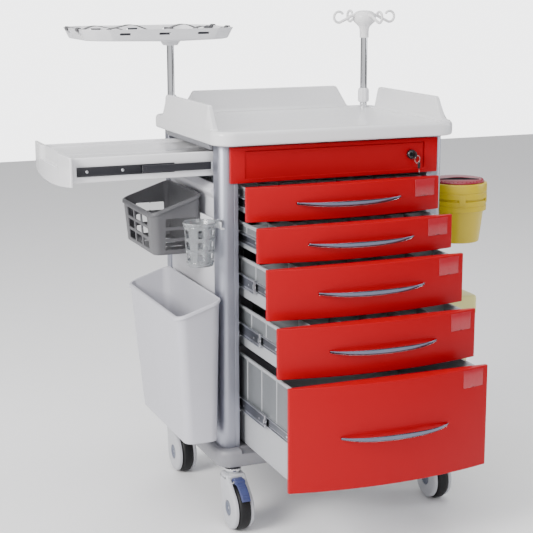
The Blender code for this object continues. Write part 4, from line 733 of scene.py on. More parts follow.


# ------------------------------------------------------------------ drawers
# Five drawers on ball-bearing slides.  Each front is a bowed glossy red moulding with a clear
# label pocket, behind it a grey moulded tray with an outward lip, frosted dividers and a darker
# strip of painted shade under its rim, and across it a bowed anodised handle: a straight top
# edge with a painted highlight over a hollow blue-grey blade.
tray_abs = moulded("fine_grained_abs_tray", "A3A5A9", 0.42, mm(0.6), mm(0.04))
# Painted shade: a dark sheet on the trays' side walls under the rim, where they stand in shade.
tray_wall_shade = moulded("tray_wall_painted_shade", "6A6D70", 0.30, mm(0.8), mm(0.02), 0.05)
# Painted shade, with some grease: a darker strip in the slide webs, where their grooves lie in shade.
greased_shaded_zinc = drawn_metal("greased_slide_track_painted_shade", "77797F", 0.38, mm(0.4), mm(0.02), "Y", wear_and_highlight=0.2)
divider_pc = moulded("frosted_polycarbonate", "9DA0A3", 0.25, mm(2.0), mm(0.01), 0.05, 0.5, 0.0, 1.58, 0.25)
# Clear PVC pocket over red: the red seen through it with a painted pale pink sheen, hardly any texture.
pocket_pvc = moulded("clear_pvc_pocket_painted_sheen", "A82430", 0.14, mm(3.0), mm(0.02), 0.05, 0.35, 0.0, 1.5)
# Its edges are paled almost to white: a painted highlight along the top edge, with edge wear.
handle_metal = drawn_metal("anodised_handle_painted_edge_highlight", "6E7284", 0.22, mm(0.5), mm(0.01), "X", wear_and_highlight=0.9)
bow = mm(28)
edge_thick = mm(8.5)


def bow_at(x, half):
    """How far ahead of its ends a front stands at x: a parabola of 28 mm rise."""
    return bow * (1 - ((x - middle) / half) ** 2)


def front_shape(low, high):
    """Plan outline with the bow in front, carried up with 1.6 mm rounded edges."""
    half = (high[0] - low[0]) / 2
    back = high[1]
    x = np.linspace(low[0], high[0], 61)
    front = np.stack([x, back - edge_thick - bow_at(x, half)], 1)
    ends = np.array([[high[0], back], [low[0], back]])
    corners = np.concatenate([front, ends])
    radii = np.zeros(len(corners))
    radii[[0, 60]] = mm(2.2)
    radii[[61, 62]] = mm(1.8)
    return slab(fillet(corners, radii, 4), "Z", low[2], high[2], mm(1.6), 4)


def handle_shape(low, high, face_y):
    """Sections along x: a blade whose lower edge falls as 1 - u^2 and whose hollow faces front.

    The blade stands off the front by 17 mm times (1 - u^4)^0.9 and meets it at both tips.
    """
    half = (high[0] - low[0]) / 2
    u = np.sin(np.linspace(-math.pi / 2, math.pi / 2, 65))
    x = middle + u * half
    back = face_y - bow_at(x, front_half) - mm(0.6) - mm(17) * (1 - u ** 4) ** 0.9
    top = high[2]
    fall = mm(4.5) + mm(7.0) * (1 - u ** 2)
    v = np.linspace(0, 2 * math.pi, 20, endpoint=False)
    thick = mm(4.0)
    across = np.cos(v)
    upright = np.sin(v)
    y = back[:, None] - thick / 2 - np.sign(across)[None] * thick / 2 * np.abs(across)[None] ** 0.7
    z = top - fall[:, None] / 2 + np.sign(upright)[None] * fall[:, None] / 2 * np.abs(upright)[None] ** 0.6
    lower = (top - z) / fall[:, None]
    y = y + mm(2.2) * lower * (np.sign(across)[None] > 0)
    return loft(np.stack([np.broadcast_to(x[:, None], y.shape), y, z], -1))


def tray_shape(low, high, reach):
    """An open tray: rings up its outside, over a rolled lip, down its inside to the floor."""
    x0, x1, y0, y1 = low[0] + reach, high[0] - reach, low[1], high[1] - mm(3.6)
    levels = [(1.5, 0), (0.4, 0.4), (0, 1.6), (0, 14)]
    top = (high[2] - low[2]) / mm(1)
    levels += [(0, top - 6), (-0.8, top - 4.2), (-3.0, top - 3.0), (-3.6, top - 2.4), (-3.6, top - 0.7),
               (-3.0, top), (1.6, top), (2.4, top - 0.7), (2.5, top - 3), (2.5, 4.6), (3.2, 3.0), (4.6, 2.5)]
    rings = []
    for a, b in levels:
        grow = min(a, 0.0)
        outline = fillet([(x0 + mm(a), y0 + mm(a - grow)), (x1 - mm(a), y0 + mm(a - grow)),
                          (x1 - mm(a), y1 - mm(a)), (x0 + mm(a), y1 - mm(a))], mm(7 - min(a, 3.0)), 6)
        rings.append(on_axis(outline, low[2] + mm(b), "Z"))
    return loft(rings)


def pocket_shape(high, top):
    """A clear plate bent to the front's bow, 52 by 37 mm, with a thumb notch below."""
    c = high[0] - mm(40)
    x = np.concatenate([np.linspace(c - mm(26), c - mm(3.5), 7), np.linspace(c - mm(3), c + mm(3), 9),
                        np.linspace(c + mm(3.5), c + mm(26), 7)])
    z1 = top - mm(4)
    z0 = z1 - mm(37)
    face = high[1] - edge_thick - bow_at(x, front_half)
    plan = np.concatenate([np.stack([x, face - mm(0.9)], 1), np.stack([x, face + mm(0.3)], 1)[::-1]])
    points, faces = slab(plan, "Z", z0, z1, mm(0.3), 2)
    notch = np.sqrt(np.clip(1 - ((points[:, 0] - c) / mm(3)) ** 2, 0, 1))
    points[:, 2] += mm(2.6) * notch * (points[:, 2] < (z0 + z1) / 2)
    return points, faces


for n in range(1, 6):
    body = f"drawer_{n}"
    low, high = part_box(f"drawer_{n}_front")
    piece(f"drawer_{n}_front_moulding", body,
          [(front_shape(low, high), front_red)], [f"drawer_{n}_front"])
    piece(f"drawer_{n}_label_pocket", body, [(pocket_shape(high, high[2]), pocket_pvc)])
    handle_low, handle_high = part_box(f"drawer_{n}_handle")
    face_y = high[1] - edge_thick
    piece(f"drawer_{n}_handle_blade", body,
          [(handle_shape(handle_low, handle_high, face_y), handle_metal)], [f"drawer_{n}_handle"])
    tray_low, tray_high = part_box(f"drawer_{n}_box")
    three_part = n > 2
    lip_reach = mm(4.7) if three_part else mm(9.7)
    z = slide_z[n - 1]
    shapes = [(tray_shape(tray_low, tray_high, lip_reach), tray_abs)]
    for sign in (-1, 1):
        wall = middle + sign * ((tray_high[0] - tray_low[0]) / 2 - lip_reach)
        channel_shape = channel(wall - sign * mm(0.2), wall + sign * lip_reach, z, mm(10.5),
                                tray_low[1] + mm(3),
                                tray_high[1] - mm(13))
        shapes.append((channel_shape, zinc))
        # A darker strip along the slide's web: painted shade in its groove, with grease.
        track = wall + sign * mm(1.3)
        shapes.append((brick((min(wall, track), tray_low[1] + mm(4), z - mm(6.2)),
                             (max(wall, track), tray_high[1] - mm(14), z + mm(6.2)), mm(1), mm(0.15), "X", 2),
                       greased_shaded_zinc))
        # A dark sheet on the wall between slide and rim: painted shade.
        shade = wall + sign * mm(0.5)
        z0, z1 = z + mm(11.5), tray_high[2] - mm(8.5)
        shapes.append((brick((min(wall, shade), tray_low[1] + mm(9), z0),
                             (max(wall, shade), tray_high[1] - mm(16), z1), mm(2), mm(0.2), "X", 3), tray_wall_shade))
        stand = wall + sign * mm(1.4)
        for k in range(5):
            y = tray_low[1] + mm(9) + (tray_high[1] - tray_low[1] - mm(28)) * k / 4
            shapes.append((brick((min(wall, stand), y, z0 - mm(1)), (max(wall, stand), y + mm(3), z1 + mm(2)),
                                 mm(0.8), mm(0.4), "X", 2), tray_abs))
        for k in range(3):
            y = tray_low[1] + mm(40 + 110 * k)
            head = [(mm(0.2), 0.0), (mm(3.2), 0.0), (mm(3.0), mm(0.9)), (mm(1.8), mm(1.5)),
                    (mm(0.2), mm(1.7))]
            screw = turned([(r, wall + sign * (mm(1.0) + h)) for r, h in head], "X", (y, z), 16)
            shapes.append((screw, zinc))
    inside = (tray_low[0] + lip_reach + mm(2.6), tray_high[0] - lip_reach - mm(2.6))
    tops = tray_high[2] - mm(2.5)
    count = {1: 9, 2: 9, 3: 6, 4: 6, 5: 0}[n]
    for k in range(1, count):
        x = inside[0] + (inside[1] - inside[0]) * k / count
        shapes.append((brick((x - mm(0.9), tray_low[1] + mm(3), tray_low[2] + mm(2.6)),
                             (x + mm(0.9), tray_high[1] - mm(6.4), tops), mm(2), mm(0.4), "X"), divider_pc))
    rows = {1: 2, 2: 2, 3: 2, 4: 2, 5: 1}[n]
    for k in range(1, rows):
        y = tray_low[1] + (tray_high[1] - tray_low[1]) * (0.25 if rows == 2 else 0.5)
        shapes.append((brick((inside[0], y - mm(0.9), tray_low[2] + mm(2.6)),
                             (inside[1], y + mm(0.9), tops - mm(1)), mm(2), mm(0.4), "Y"), divider_pc))
    piece(f"drawer_{n}_tray", body, shapes, [f"drawer_{n}_box"])

# The middle members of the three full-extension slides: rolled channels with a stop bracket of
# pressed steel riveted to each front end.
for n in range(3, 6):
    for word, sign in (("left", -1), ("right", 1)):
        low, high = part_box(f"drawer_{n}_middle_rail_{word}")
        near, far = (high[0], low[0]) if sign < 0 else (low[0], high[0])
        z = slide_z[n - 1]
        web = channel(near, far, z, (high[2] - low[2]) / 2, low[1], high[1], mm(1.3))
        # A darker strip in the web: painted shade in the groove, with grease.
        groove = near + sign * mm(1.5)
        shaded_web_strip = brick((min(near, groove), low[1] + mm(1), z - mm(9)),
                            (max(near, groove), high[1] - mm(1), z + mm(9)), mm(1), mm(0.15), "X", 2)
        stops = [brick((min(near, far), low[1] - mm(0.2) + mm(a), z + mm(c)),
                       (max(near, far), low[1] - mm(0.2) + mm(b), z + mm(d)), mm(0.8), mm(0.4), "X", 3)
                 for a, b, c, d in ((0, 2.4, 3, 14), (0, 8, 3, 5.4), (5.6, 8, -5.4, 5.4), (0, 8, -5.4, -3),
                                    (0, 2.4, -14, -3))]
        rivets = [turned([(mm(0.1), far), (mm(2.4), far), (mm(2.2), far + sign * mm(0.25)),
                          (mm(0.1), far + sign * mm(0.3))], "X", (low[1] + mm(30 + 90 * k), z), 14)
                  for k in range(3)]
        piece(f"drawer_{n}_middle_member_{word}", f"drawer_{n}_middle_rails",
              [(web, zinc), (shaded_web_strip, greased_shaded_zinc)] + [(shape, zinc) for shape in stops + rivets],
              [f"drawer_{n}_middle_rail_{word}"])


# ------------------------------------------------------------------ casters and brake pedals
# Swivel casters with 100 mm wheels: two grey nylon cheeks under a bridge, a hub cap each side,
# a chromed cup with a black collar over the swivel bearing, and a soft black tread.  The front
# pair carries a blue brake pedal hinged at the bridge, with a wide ribbed toe.
caster_nylon = moulded("glass_filled_nylon_light", "B2B3B8", 0.40, mm(0.6), mm(0.05))
hub_nylon = moulded("glass_filled_nylon_hub", "5E6474", 0.42, mm(0.6), mm(0.04))
tread = moulded("soft_black_rubber_tread", "0D0D10", 0.55, mm(0.35), mm(0.05), 0.15, 0.12, 0.0, 1.4)
collar_black = moulded("black_dust_collar", "222228", 0.45, mm(0.5), mm(0.04))
pedal_blue = moulded("blue_nylon_pedal", "363E6A", 0.40, mm(0.5), mm(0.05), 0.06, 0.2)
chrome = drawn_metal("chromed_steel", "D9DADC", 0.10, mm(0.5), mm(0.004), wear_and_highlight=0.2)
base_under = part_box("base_tray")[0][2]
trail = mm(31)


def fork_shapes(cx, cy, wheel_r, half):
    """Domed cheeks with a hub cap each, bridge block, axle, cup, collar and stem."""
    wy = cy - trail
    inner = half + mm(2)
    outer = inner + mm(9.5)
    r = wheel_r - mm(4)
    fork_top = base_under - mm(15.5)
    head = np.array([[cy + mm(21), fork_top - mm(8)], [cy + mm(16), fork_top], [cy - mm(18), fork_top],
                     [cy - mm(24), fork_top - mm(6)]])
    away = head[[3, 0]] - [wy, wheel_r]
    tangent = np.arctan2(away[:, 1], away[:, 0]) + np.arccos(r / np.linalg.norm(away, axis=1)) * [1, -1]
    t = np.linspace(tangent[0], tangent[1] + 2 * math.pi, 44)
    arc = np.stack([wy + r * np.cos(t), wheel_r + r * np.sin(t)], 1)
    corners = np.concatenate([arc, head])
    outline = fillet(corners, np.concatenate([np.zeros(len(arc)), mm(np.array([4, 3, 3, 4]))]), 5)
    shapes = []
    for sign in (-1, 1):
        a, b = cx + sign * inner, cx + sign * outer
        levels = [(0.5, 0), (0, 0.5), (0, 4.6), (0.7, 6.6), (2.2, 8.2), (4.6, 9.1), (9, 9.5)]
        rings = [on_axis(inset(outline, mm(i)), a + sign * mm(d), "X") for i, d in levels]
        cheek = loft(rings)
        pocket = brick((min(b, b - sign * mm(2.2)), wy - mm(5), wheel_r + mm(26)),
                       (max(b, b + sign * mm(5)), wy + mm(1), wheel_r + mm(34.5)), mm(1.4), mm(0.4), "X")
        dish = turned([(mm(17.5), b - sign * mm(2.0)), (mm(18.4), b + sign * mm(4))], "X", (wy, wheel_r), 40)
        shapes.append((carved(cheek, pocket, dish), caster_nylon))
        cap = [(mm(16.4), b - sign * mm(3)), (mm(16.4), b - sign * mm(0.8)), (mm(15.8), b - sign * mm(0.3)),
               (mm(13.0), b - sign * mm(0.1)), (mm(11.8), b - sign * mm(0.7)), (mm(6.5), b - sign * mm(0.5)),
               (mm(5.8), b - sign * mm(1.6)), (mm(3.2), b - sign * mm(1.6)), (mm(2.9), b - sign * mm(2.4)),
               (mm(0.4), b - sign * mm(2.5))]
        shapes.append((turned(cap, "X", (wy, wheel_r), 40), hub_nylon))
    bridge_low = wheel_r * 2 + mm(2.5)
    bridge = brick((cx - inner - mm(1), cy - mm(23), bridge_low), (cx + inner + mm(1), cy + mm(19), fork_top),
                   mm(4), mm(1.5), "X")
    shapes.append((bridge, caster_nylon))
    shapes.append((turned([(mm(4), cx - inner - mm(1)), (mm(4), cx + inner + mm(1))], "X", (wy, wheel_r), 20),
                   chrome))
    cup = mm(np.array([[15.0, -0.5], [16.5, -0.1], [16.9, 1.0], [16.9, 3.6], [17.6, 4.8], [18.3, 6.0],
                       [18.5, 7.2], [18.5, 10.6], [17.9, 11.3], [12.0, 11.4]]))
    shapes.append((turned(cup + [0, fork_top], "Z", (cx, cy), 48), chrome))
    ring = mm(np.array([[11.0, 11.0], [17.2, 11.2], [17.8, 11.9], [17.8, 13.4], [16.8, 14.6], [11, 14.9]]))
    shapes.append((turned(ring + [0, fork_top], "Z", (cx, cy), 48), collar_black))
    stem = [(mm(6), fork_top - mm(1)), (mm(6), base_under + mm(23.6)), (mm(5.6), base_under + mm(24))]
    shapes.append((turned(stem, "Z", (cx, cy), 24), chrome))
    return shapes


def wheel_shapes(cx, wy, wheel_r, half):
    """Tread with a crowned running face and side steps, round a dished hub with a bore."""
    profile = mm(np.array([[38.5, -11.0], [40.0, -11.6], [46.2, -12.0], [48.2, -10.6], [49.4, -8.0],
                           [49.9, -4.5], [50.0, 0.0]]))
    profile *= [wheel_r / mm(50), half / mm(12)]
    profile = np.concatenate([profile, (profile * [1, -1])[-2::-1]])
    core = mm(np.array([[4.6, -11.2], [8.6, -11.2], [9.4, -10.4], [10.2, -7.6], [34.2, -7.6], [35.6, -10.4],
                        [38.6, -11.0]]))
    core = np.concatenate([core, (core * [1, -1])[::-1]])
    shapes = [(turned(profile + [0, cx], "X", (wy, wheel_r), 72, wrap=True), tread),
              (turned(core + [0, cx], "X", (wy, wheel_r), 48, wrap=True), hub_nylon)]
    return shapes


def pedal_shapes(cx, wy, wheel_r, half):
    """An arc of 4.5 mm over the tread from 100 to 150 degrees, with side lips and cross ribs.

    A block with a steel pin under the bridge is its hinge.
    """
    near = wheel_r + mm(8.5)
    t = np.radians(np.linspace(100, 150, 26))
    thick = mm(4.5)
    swell = np.clip((np.degrees(t) - 138) / 8, 0, 1)
    outer = near + thick - mm(0.4) * np.sin(np.degrees(t) * math.pi / 2.0) * swell
    path = np.concatenate([np.stack([wy + outer * np.cos(t), wheel_r + outer * np.sin(t)], 1),
                           np.stack([wy + near * np.cos(t), wheel_r + near * np.sin(t)], 1)[::-1]])
    body = slab(path, "X", cx - half, cx + half, mm(1.0))
    shapes = [(body, pedal_blue)]
    way = np.stack([np.cos(t), np.sin(t)], 1)[3:-2]
    low = way * (near - mm(2.0)) + [wy, wheel_r]
    high = way * (near + mm(1.5)) + [wy, wheel_r]
    for sign in (-1, 1):
        lip = slab(np.concatenate([high, low[::-1]]), "X", cx + sign * (half - mm(1.1)) - mm(0.9),
                   cx + sign * (half - mm(1.1)) + mm(0.9), mm(0.3), 2)
        shapes.append((lip, pedal_blue))
    shapes.append((brick((cx - mm(11.5), wy - mm(17), wheel_r + mm(55.5)),
                         (cx + mm(11.5), wy + mm(6), wheel_r + mm(66)),
                         mm(3.5), mm(1.6), "X"), pedal_blue))
    pin = [(mm(2.2), cx - mm(13.2)), (mm(2.2), cx + mm(13.2))]
    shapes.append((turned(pin, "X", (wy - mm(8), wheel_r + mm(60.5)), 16), zinc))
    for degrees in (112, 119, 138, 142, 146):
        a = math.radians(degrees)
        at_rib = ((near + thick) * math.cos(a) + wy, (near + thick) * math.sin(a) + wheel_r)
        rib = turned([(mm(0.9), cx - half + mm(3)), (mm(0.9), cx + half - mm(3))], "X", at_rib, 10)
        shapes.append((rib, pedal_blue))
    return shapes


for row in ("front", "rear"):
    for word in ("left", "right"):
        wheel_low, wheel_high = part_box(f"caster_wheel_{row}_{word}")
        wheel_r = (wheel_high[2] - wheel_low[2]) / 2
        half = (wheel_high[0] - wheel_low[0]) / 2
        cx = (wheel_low[0] + wheel_high[0]) / 2
        wy = (wheel_low[1] + wheel_high[1]) / 2
        piece(f"caster_{row}_{word}_fork", f"caster_{row}_{word}",
              fork_shapes(cx, wy + trail, wheel_r, half), [f"caster_fork_{row}_{word}"])
        piece(f"caster_{row}_{word}_wheel", f"wheel_{row}_{word}",
              wheel_shapes(cx, wy, wheel_r, half), [f"caster_wheel_{row}_{word}"])
        if row == "front":
            pedal_low, pedal_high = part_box(f"brake_pedal_{word}")
            piece(f"brake_{word}_pedal", f"brake_{word}",
                  pedal_shapes(cx, wy, wheel_r, (pedal_high[0] - pedal_low[0]) / 2), [f"brake_pedal_{word}"])


# ------------------------------------------------------------------ poles, knobs and hook head
# Two chromed steel poles stand in the rear columns.  Each is clamped at the worktop by a white
# ribbed screw cap on a narrow foot; the right one carries a four-armed infusion head moulded in
# white nylon on a tapered sleeve, its arms curled into loops.
knob_nylon = moulded("white_nylon_knob", "DCDCDF", 0.36, mm(0.7), mm(0.03))
head_nylon = moulded("white_nylon_hook_head", "E4E3E4", 0.30, mm(0.8), mm(0.02))


def knob_shape(centre, low, high):
    """Foot, ribbed grip and chamfered top: radius 13.8 mm less 1.1 mm between eight ribs."""
    t = np.linspace(0, 2 * math.pi, 96, endpoint=False)
    wave = 0.5 + 0.5 * np.tanh(3.5 * np.cos(8 * t))
    tall = high - low
    levels = np.array([[8.6, 0.0, 0], [8.8, 0.8, 0], [8.8, 8.0, 0], [9.6, 9.2, 0], [12.4, 9.8, 0.5],
                       [13.5, 11.2, 1], [13.8, 13.0, 1], [13.8, 36.0, 1], [13.2, 39.4, 1], [12.0, 41.8, 0.6],
                       [10.9, 43.0, 0.1], [10.2, 43.4, 0]])
    r = mm(levels[:, :1]) - mm(1.1) * levels[:, 2:] * (1 - wave[None])
    z = low + levels[:, 1:2] / 43.5 * tall + 0 * r
    rings = np.stack([centre[0] + r * np.cos(t), centre[1] + r * np.sin(t), z], -1)
    bore = turned([(pole_r + mm(0.4), low - 0.01), (pole_r + mm(0.4), high + 0.01)], "Z", centre, 40)
    return carved(loft(rings), bore)


def pole_shape(centre, low, high, chamfer=mm(0.8)):
    """A round bar with chamfered ends."""
    profile = [(pole_r - chamfer, low), (pole_r, low + chamfer), (pole_r, high - chamfer),
               (pole_r - chamfer, high)]
    return turned(profile, "Z", centre, 48)


iv_low, iv_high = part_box("iv_rod")
pole_y = (iv_low[1] + iv_high[1]) / 2
iv_at = ((iv_low[0] + iv_high[0]) / 2, pole_y)
tray_pole_low, tray_pole_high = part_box("tray_pole")
tray_at = ((tray_pole_low[0] + tray_pole_high[0]) / 2, pole_y)
for name, node_name, centre in (("iv_clamp", "iv_clamp_knob", iv_at),
                                ("tray_clamp", "tray_clamp_knob", tray_at)):
    low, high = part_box(node_name)
    piece(f"{name}_cap", node_name, [(knob_shape(centre, low[2], high[2]), knob_nylon)],
          [node_name])
piece("iv_pole_bar", "iv_pole", [(pole_shape(iv_at, iv_low[2], iv_high[2]), chrome)], ["iv_rod"])
piece("tray_pole_bar", "tray_pole",
      [(pole_shape(tray_at, tray_pole_low[2], tray_pole_high[2]), chrome)], ["tray_pole"])

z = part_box("iv_hook_head")[0][2]
sleeve = mm(np.array([[9.0, 0.0], [10.6, 0.1], [11.0, 0.6], [11.0, 12.0], [11.6, 21.0], [13.6, 26.5],
                      [18.6, 31.8], [24.4, 36.6], [27.2, 41.5], [28.0, 46.5], [27.6, 52.0], [25.6, 57.2],
                      [21.6, 61.2], [15.6, 63.9], [8.0, 65.0], [0.5, 65.0]]))
socket = turned([(pole_r + mm(0.3), z - 0.01), (pole_r + mm(0.3), iv_high[2] + mm(0.3))], "Z", iv_at, 40)
shapes = [(carved(turned(sleeve + [0, z], "Z", iv_at, 56), socket), head_nylon)]
ring_r = mm(13.0)
reach = mm(71)
for quarter in range(4):
    angle = math.radians(90 * quarter + 4)
    t = np.radians(np.linspace(232, 512, 13))
    hook = np.concatenate([mm(np.array([[10, 53.5], [34, 53], [46, 47]])),
                           np.stack([reach + ring_r * np.cos(t), mm(50) + ring_r * np.sin(t)], 1)])
    path = np.stack([iv_at[0] + hook[:, 0] * math.cos(angle), iv_at[1] + hook[:, 0] * math.sin(angle),
                     z + hook[:, 1]], 1)
    path = smooth_path(path, 90)
    u = np.linspace(0, 1, 90)
    radius = mm(3.0) + mm(1.9) * np.exp(-u * 9) - mm(3.0) * np.clip((u - 0.975) / 0.025, 0, 1) ** 2 * 0.7
    shapes.append((tube(path, radius, 16), head_nylon))
piece("iv_hook_head_moulding", "iv_pole", shapes, ["iv_hook_head"])


# ------------------------------------------------------------------ monitor tray
# A white moulded tray on its own pole: cut corners, a flared rim with slots for the straps, and
# a shallow pyramid down to the socket.  The ends of woven black straps turn down over the rim,
# and two more bands lie loose across the floor.
tray_white = moulded("fine_grained_abs_white", "D8D8DB", 0.34, mm(0.9), mm(0.03))
webbing = bpy.data.materials.new("woven_polyester_strap")
webbing.use_nodes = True
weave = webbing.node_tree
shader = weave.nodes["Principled BSDF"]
shader.inputs["Roughness"].default_value = 0.85
shader.inputs["Sheen Weight"].default_value = 0.3
at = node(weave, "ShaderNodeTexCoord").outputs["Object"]
ribs = node(weave, "ShaderNodeTexWave", {"Scale": 0.16 / mm(1.0), "Distortion": 0.6, "Detail": 1.0},
            Vector=at)
fuzz = node(weave, "ShaderNodeTexNoise", {"Scale": 1.0 / mm(0.4), "Detail": 2.0}, Vector=at)
tint = node(weave, "ShaderNodeMix", {"data_type": "RGBA", 6: linear("15151A"), 7: linear("34343C")},
            i0=fuzz.outputs["Fac"])
weave.links.new(tint.outputs[2], shader.inputs["Base Color"])
rise = node(weave, "ShaderNodeBump", {"Strength": 0.7, "Distance": mm(0.15)}, Height=ribs.outputs["Fac"])
weave.links.new(rise.outputs["Normal"], shader.inputs["Normal"])
low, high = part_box("monitor_tray")
tx, ty = (low[0] + high[0]) / 2, (low[1] + high[1]) / 2
hx, hy = (high[0] - low[0]) / 2, (high[1] - low[1]) / 2
bottom, rim_z = low[2], high[2]
floor_z = bottom + mm(20)


def tray_plan(cx, cy, half_x, half_y, corner):
    """A rectangle whose corners are cut by a bent chamfer, its bends softly rounded."""
    bend = corner * 0.4
    quarter = np.array([[half_x, half_y - corner], [half_x - bend, half_y - bend], [half_x - corner, half_y]])
    points = np.concatenate([quarter, (quarter * [-1, 1])[::-1], quarter * [-1, -1],
                             (quarter * [1, -1])[::-1]])
    return fillet(points, min(corner * 0.45, mm(16)), 6) + [cx, cy]


def tray_rings():
    """Socket, pyramid, flared wall, rolled rim and back down inside to the flat floor."""
    socket = [(14.5, 6, 0), (15.6, 7, 0.8), (20, 8, 8.6), (20.8, 8, 9.6)]
    wall = [(-14, 16.3), (-10.6, 17.4), (-9.2, 19.4), (-0.9, 39.6), (-0.2, 40.9), (0, 41.5), (-0.6, 42),
            (-2.4, 42), (-3.1, 41.3), (-11.6, 22.2), (-12.6, 20.8), (-14.4, 20.0)]
    rings = [on_axis(tray_plan(tray_at[0], tray_at[1], mm(a), mm(a), mm(corner)), bottom + mm(up), "Z")
             for a, corner, up in socket]
    rings += [on_axis(tray_plan(tx, ty, hx + mm(a), hy + mm(a), mm(50)), bottom + mm(up), "Z")
              for a, up in wall]
    return rings


slot_z = floor_z + 0.42 * (rim_z - floor_z)
slots = []
for step in (-1, 0, 1):
    x = tx + mm(90) * step
    for sign in (-1, 1):
        y = ty + sign * hy
        slots.append(brick((x - mm(14), y - mm(12), slot_z), (x + mm(14), y + mm(12), slot_z + mm(5)),
                           mm(2.4), mm(0.2), "Y"))
for step in (-1, 1):
    y = ty + mm(50) * step
    for sign in (-1, 1):
        x = tx + sign * hx
        slots.append(brick((x - mm(13), y - mm(14), slot_z), (x + mm(13), y + mm(14), slot_z + mm(5)),
                           mm(2.4), mm(0.2), "X"))
socket = turned([(pole_r + mm(0.3), bottom - 0.01), (pole_r + mm(0.3), tray_pole_high[2] + mm(0.3))], "Z",
                tray_at, 40)
shapes = [(carved(loft(tray_rings()), *slots, socket), tray_white)]


def strap(side, y, width, curl):
    """A 1.2 mm band from the floor up over the rim, its end turned down behind it.

    The path lies in the XZ plane; each point's normal offsets it by half the thickness.
    """
    edge = tx + side * hx
    path = np.array([[edge - side * mm(62), floor_z + mm(1.0)], [edge - side * mm(30), floor_z + mm(1.0)],
                     [edge - side * mm(15.5), floor_z + mm(3.0)], [edge - side * mm(7.6), rim_z - mm(4.0)],
                     [edge - side * mm(4.4), rim_z + mm(1.2)], [edge + side * mm(0.6), rim_z + mm(1.9)],
                     [edge + side * curl, rim_z - mm(3.0)], [edge - side * mm(0.4), rim_z - mm(7)]])
    line = smooth_path(path, 70)
    along = np.gradient(line, axis=0)
    along /= np.linalg.norm(along, axis=1, keepdims=True)
    normal = np.stack([-along[:, 1], along[:, 0]], 1)
    a, b = line + normal * mm(0.6), line - normal * mm(0.6)
    y0, y1 = y - width / 2, y + width / 2
    rings = [np.stack([a[:, 0], np.full(70, y0), a[:, 1]], 1),
             np.stack([a[:, 0], np.full(70, y1), a[:, 1]], 1),
             np.stack([b[:, 0], np.full(70, y1), b[:, 1]], 1),
             np.stack([b[:, 0], np.full(70, y0), b[:, 1]], 1)]
    return loft(np.stack(rings, 1))


def lying_strap(y, width, humps):
    """The band between both rims: it lies on the floor and stands up in loose waves."""
    x = np.linspace(tx - hx + mm(12), tx + hx - mm(12), 120)
    u = (x - x[0]) / (x[-1] - x[0])
    lift = mm(1.6) + sum(mm(h) * np.exp(-((u - c) / w) ** 2) for c, w, h in humps)
    lift += mm(16) * (np.exp(-(u / 0.03) ** 2) + np.exp(-((1 - u) / 0.03) ** 2))
    z = floor_z + lift
    slope = np.gradient(z, x)
    size = np.sqrt(1 + slope ** 2)
    a = np.stack([x - slope / size * mm(0.6), z + mm(0.6) / size], 1)
    b = np.stack([x + slope / size * mm(0.6), z - mm(0.6) / size], 1)
    sway = y + mm(4) * np.sin(u * 7.0)
    rings = [np.stack([edge[:, 0], sway + s * width / 2, edge[:, 1]], 1)
             for edge, s in ((a, -1), (a, 1), (b, 1), (b, -1))]
    return loft(np.stack(rings, 1))


for side, y, curl in ((-1, -50, 2.5), (-1, 50, 1.5), (1, -50, 1.0), (1, 50, 2.5)):
    shapes.append((strap(side, ty + mm(y), mm(20), mm(curl)), webbing))
shapes.append((lying_strap(ty - mm(50), mm(24), ((0.22, 0.10, 20), (0.50, 0.16, 14), (0.84, 0.10, 22))),
               webbing))
shapes.append((lying_strap(ty + mm(50), mm(24), ((0.16, 0.12, 22), (0.42, 0.14, 24), (0.80, 0.14, 24))),
               webbing))
for step in (-1, 0, 1):
    for sign in (-1, 1):
        x = tx + mm(90) * step
        y = ty + sign * (hy - mm(9.6))
        shapes.append((brick((x - mm(12), y - mm(0.6), floor_z + mm(0.5)),
                             (x + mm(12), y + mm(0.6), slot_z + mm(6.5)),
                             mm(0.5), mm(0.3), "Y", 2), webbing))
piece("monitor_tray_moulding", "tray_pole", shapes, ["monitor_tray"])


# ------------------------------------------------------------------ pull-out side shelf
# A glossy white moulded writing shelf with a raised rounded lip and an end plate with a
# crescent grip.  It hangs between two black-painted slides whose fixed members stand on the
# left side panel.
shelf_white = moulded("glossy_abs_shelf_white", "E2E2E5", 0.12, mm(2.0), mm(0.01), 0.01, 0.15, 0.5, 1.5)
low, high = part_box("side_shelf")
sx0 = low[0] + mm(16)
sx1 = high[0]
sy0, sy1 = panel_y[0] + mm(16.7), panel_y[1] - mm(28.7)
shelf_top = under - mm(19)
shelf_low = shelf_top - mm(52)
deck = shelf_top - mm(7)


def recess_tool():
    """Rings that widen upwards: a rounded foot, a straight wall and a rounded brim."""
    plan = counterclockwise(fillet([(sx0 + mm(8), sy0 + mm(9)), (sx1 + mm(30), sy0 + mm(9)),
                                    (sx1 + mm(30), sy1 - mm(9)), (sx0 + mm(8), sy1 - mm(9))], mm(9), 8))
    steps = [(2.5, 0), (0.9, 0.5), (0.2, 1.6), (0, 3.2), (-0.3, 5), (-1.2, 6.2), (-2.6, 7.02), (-2.7, 14)]
    return loft([on_axis(inset(plan, mm(a)), deck + mm(b), "Z") for a, b in steps])


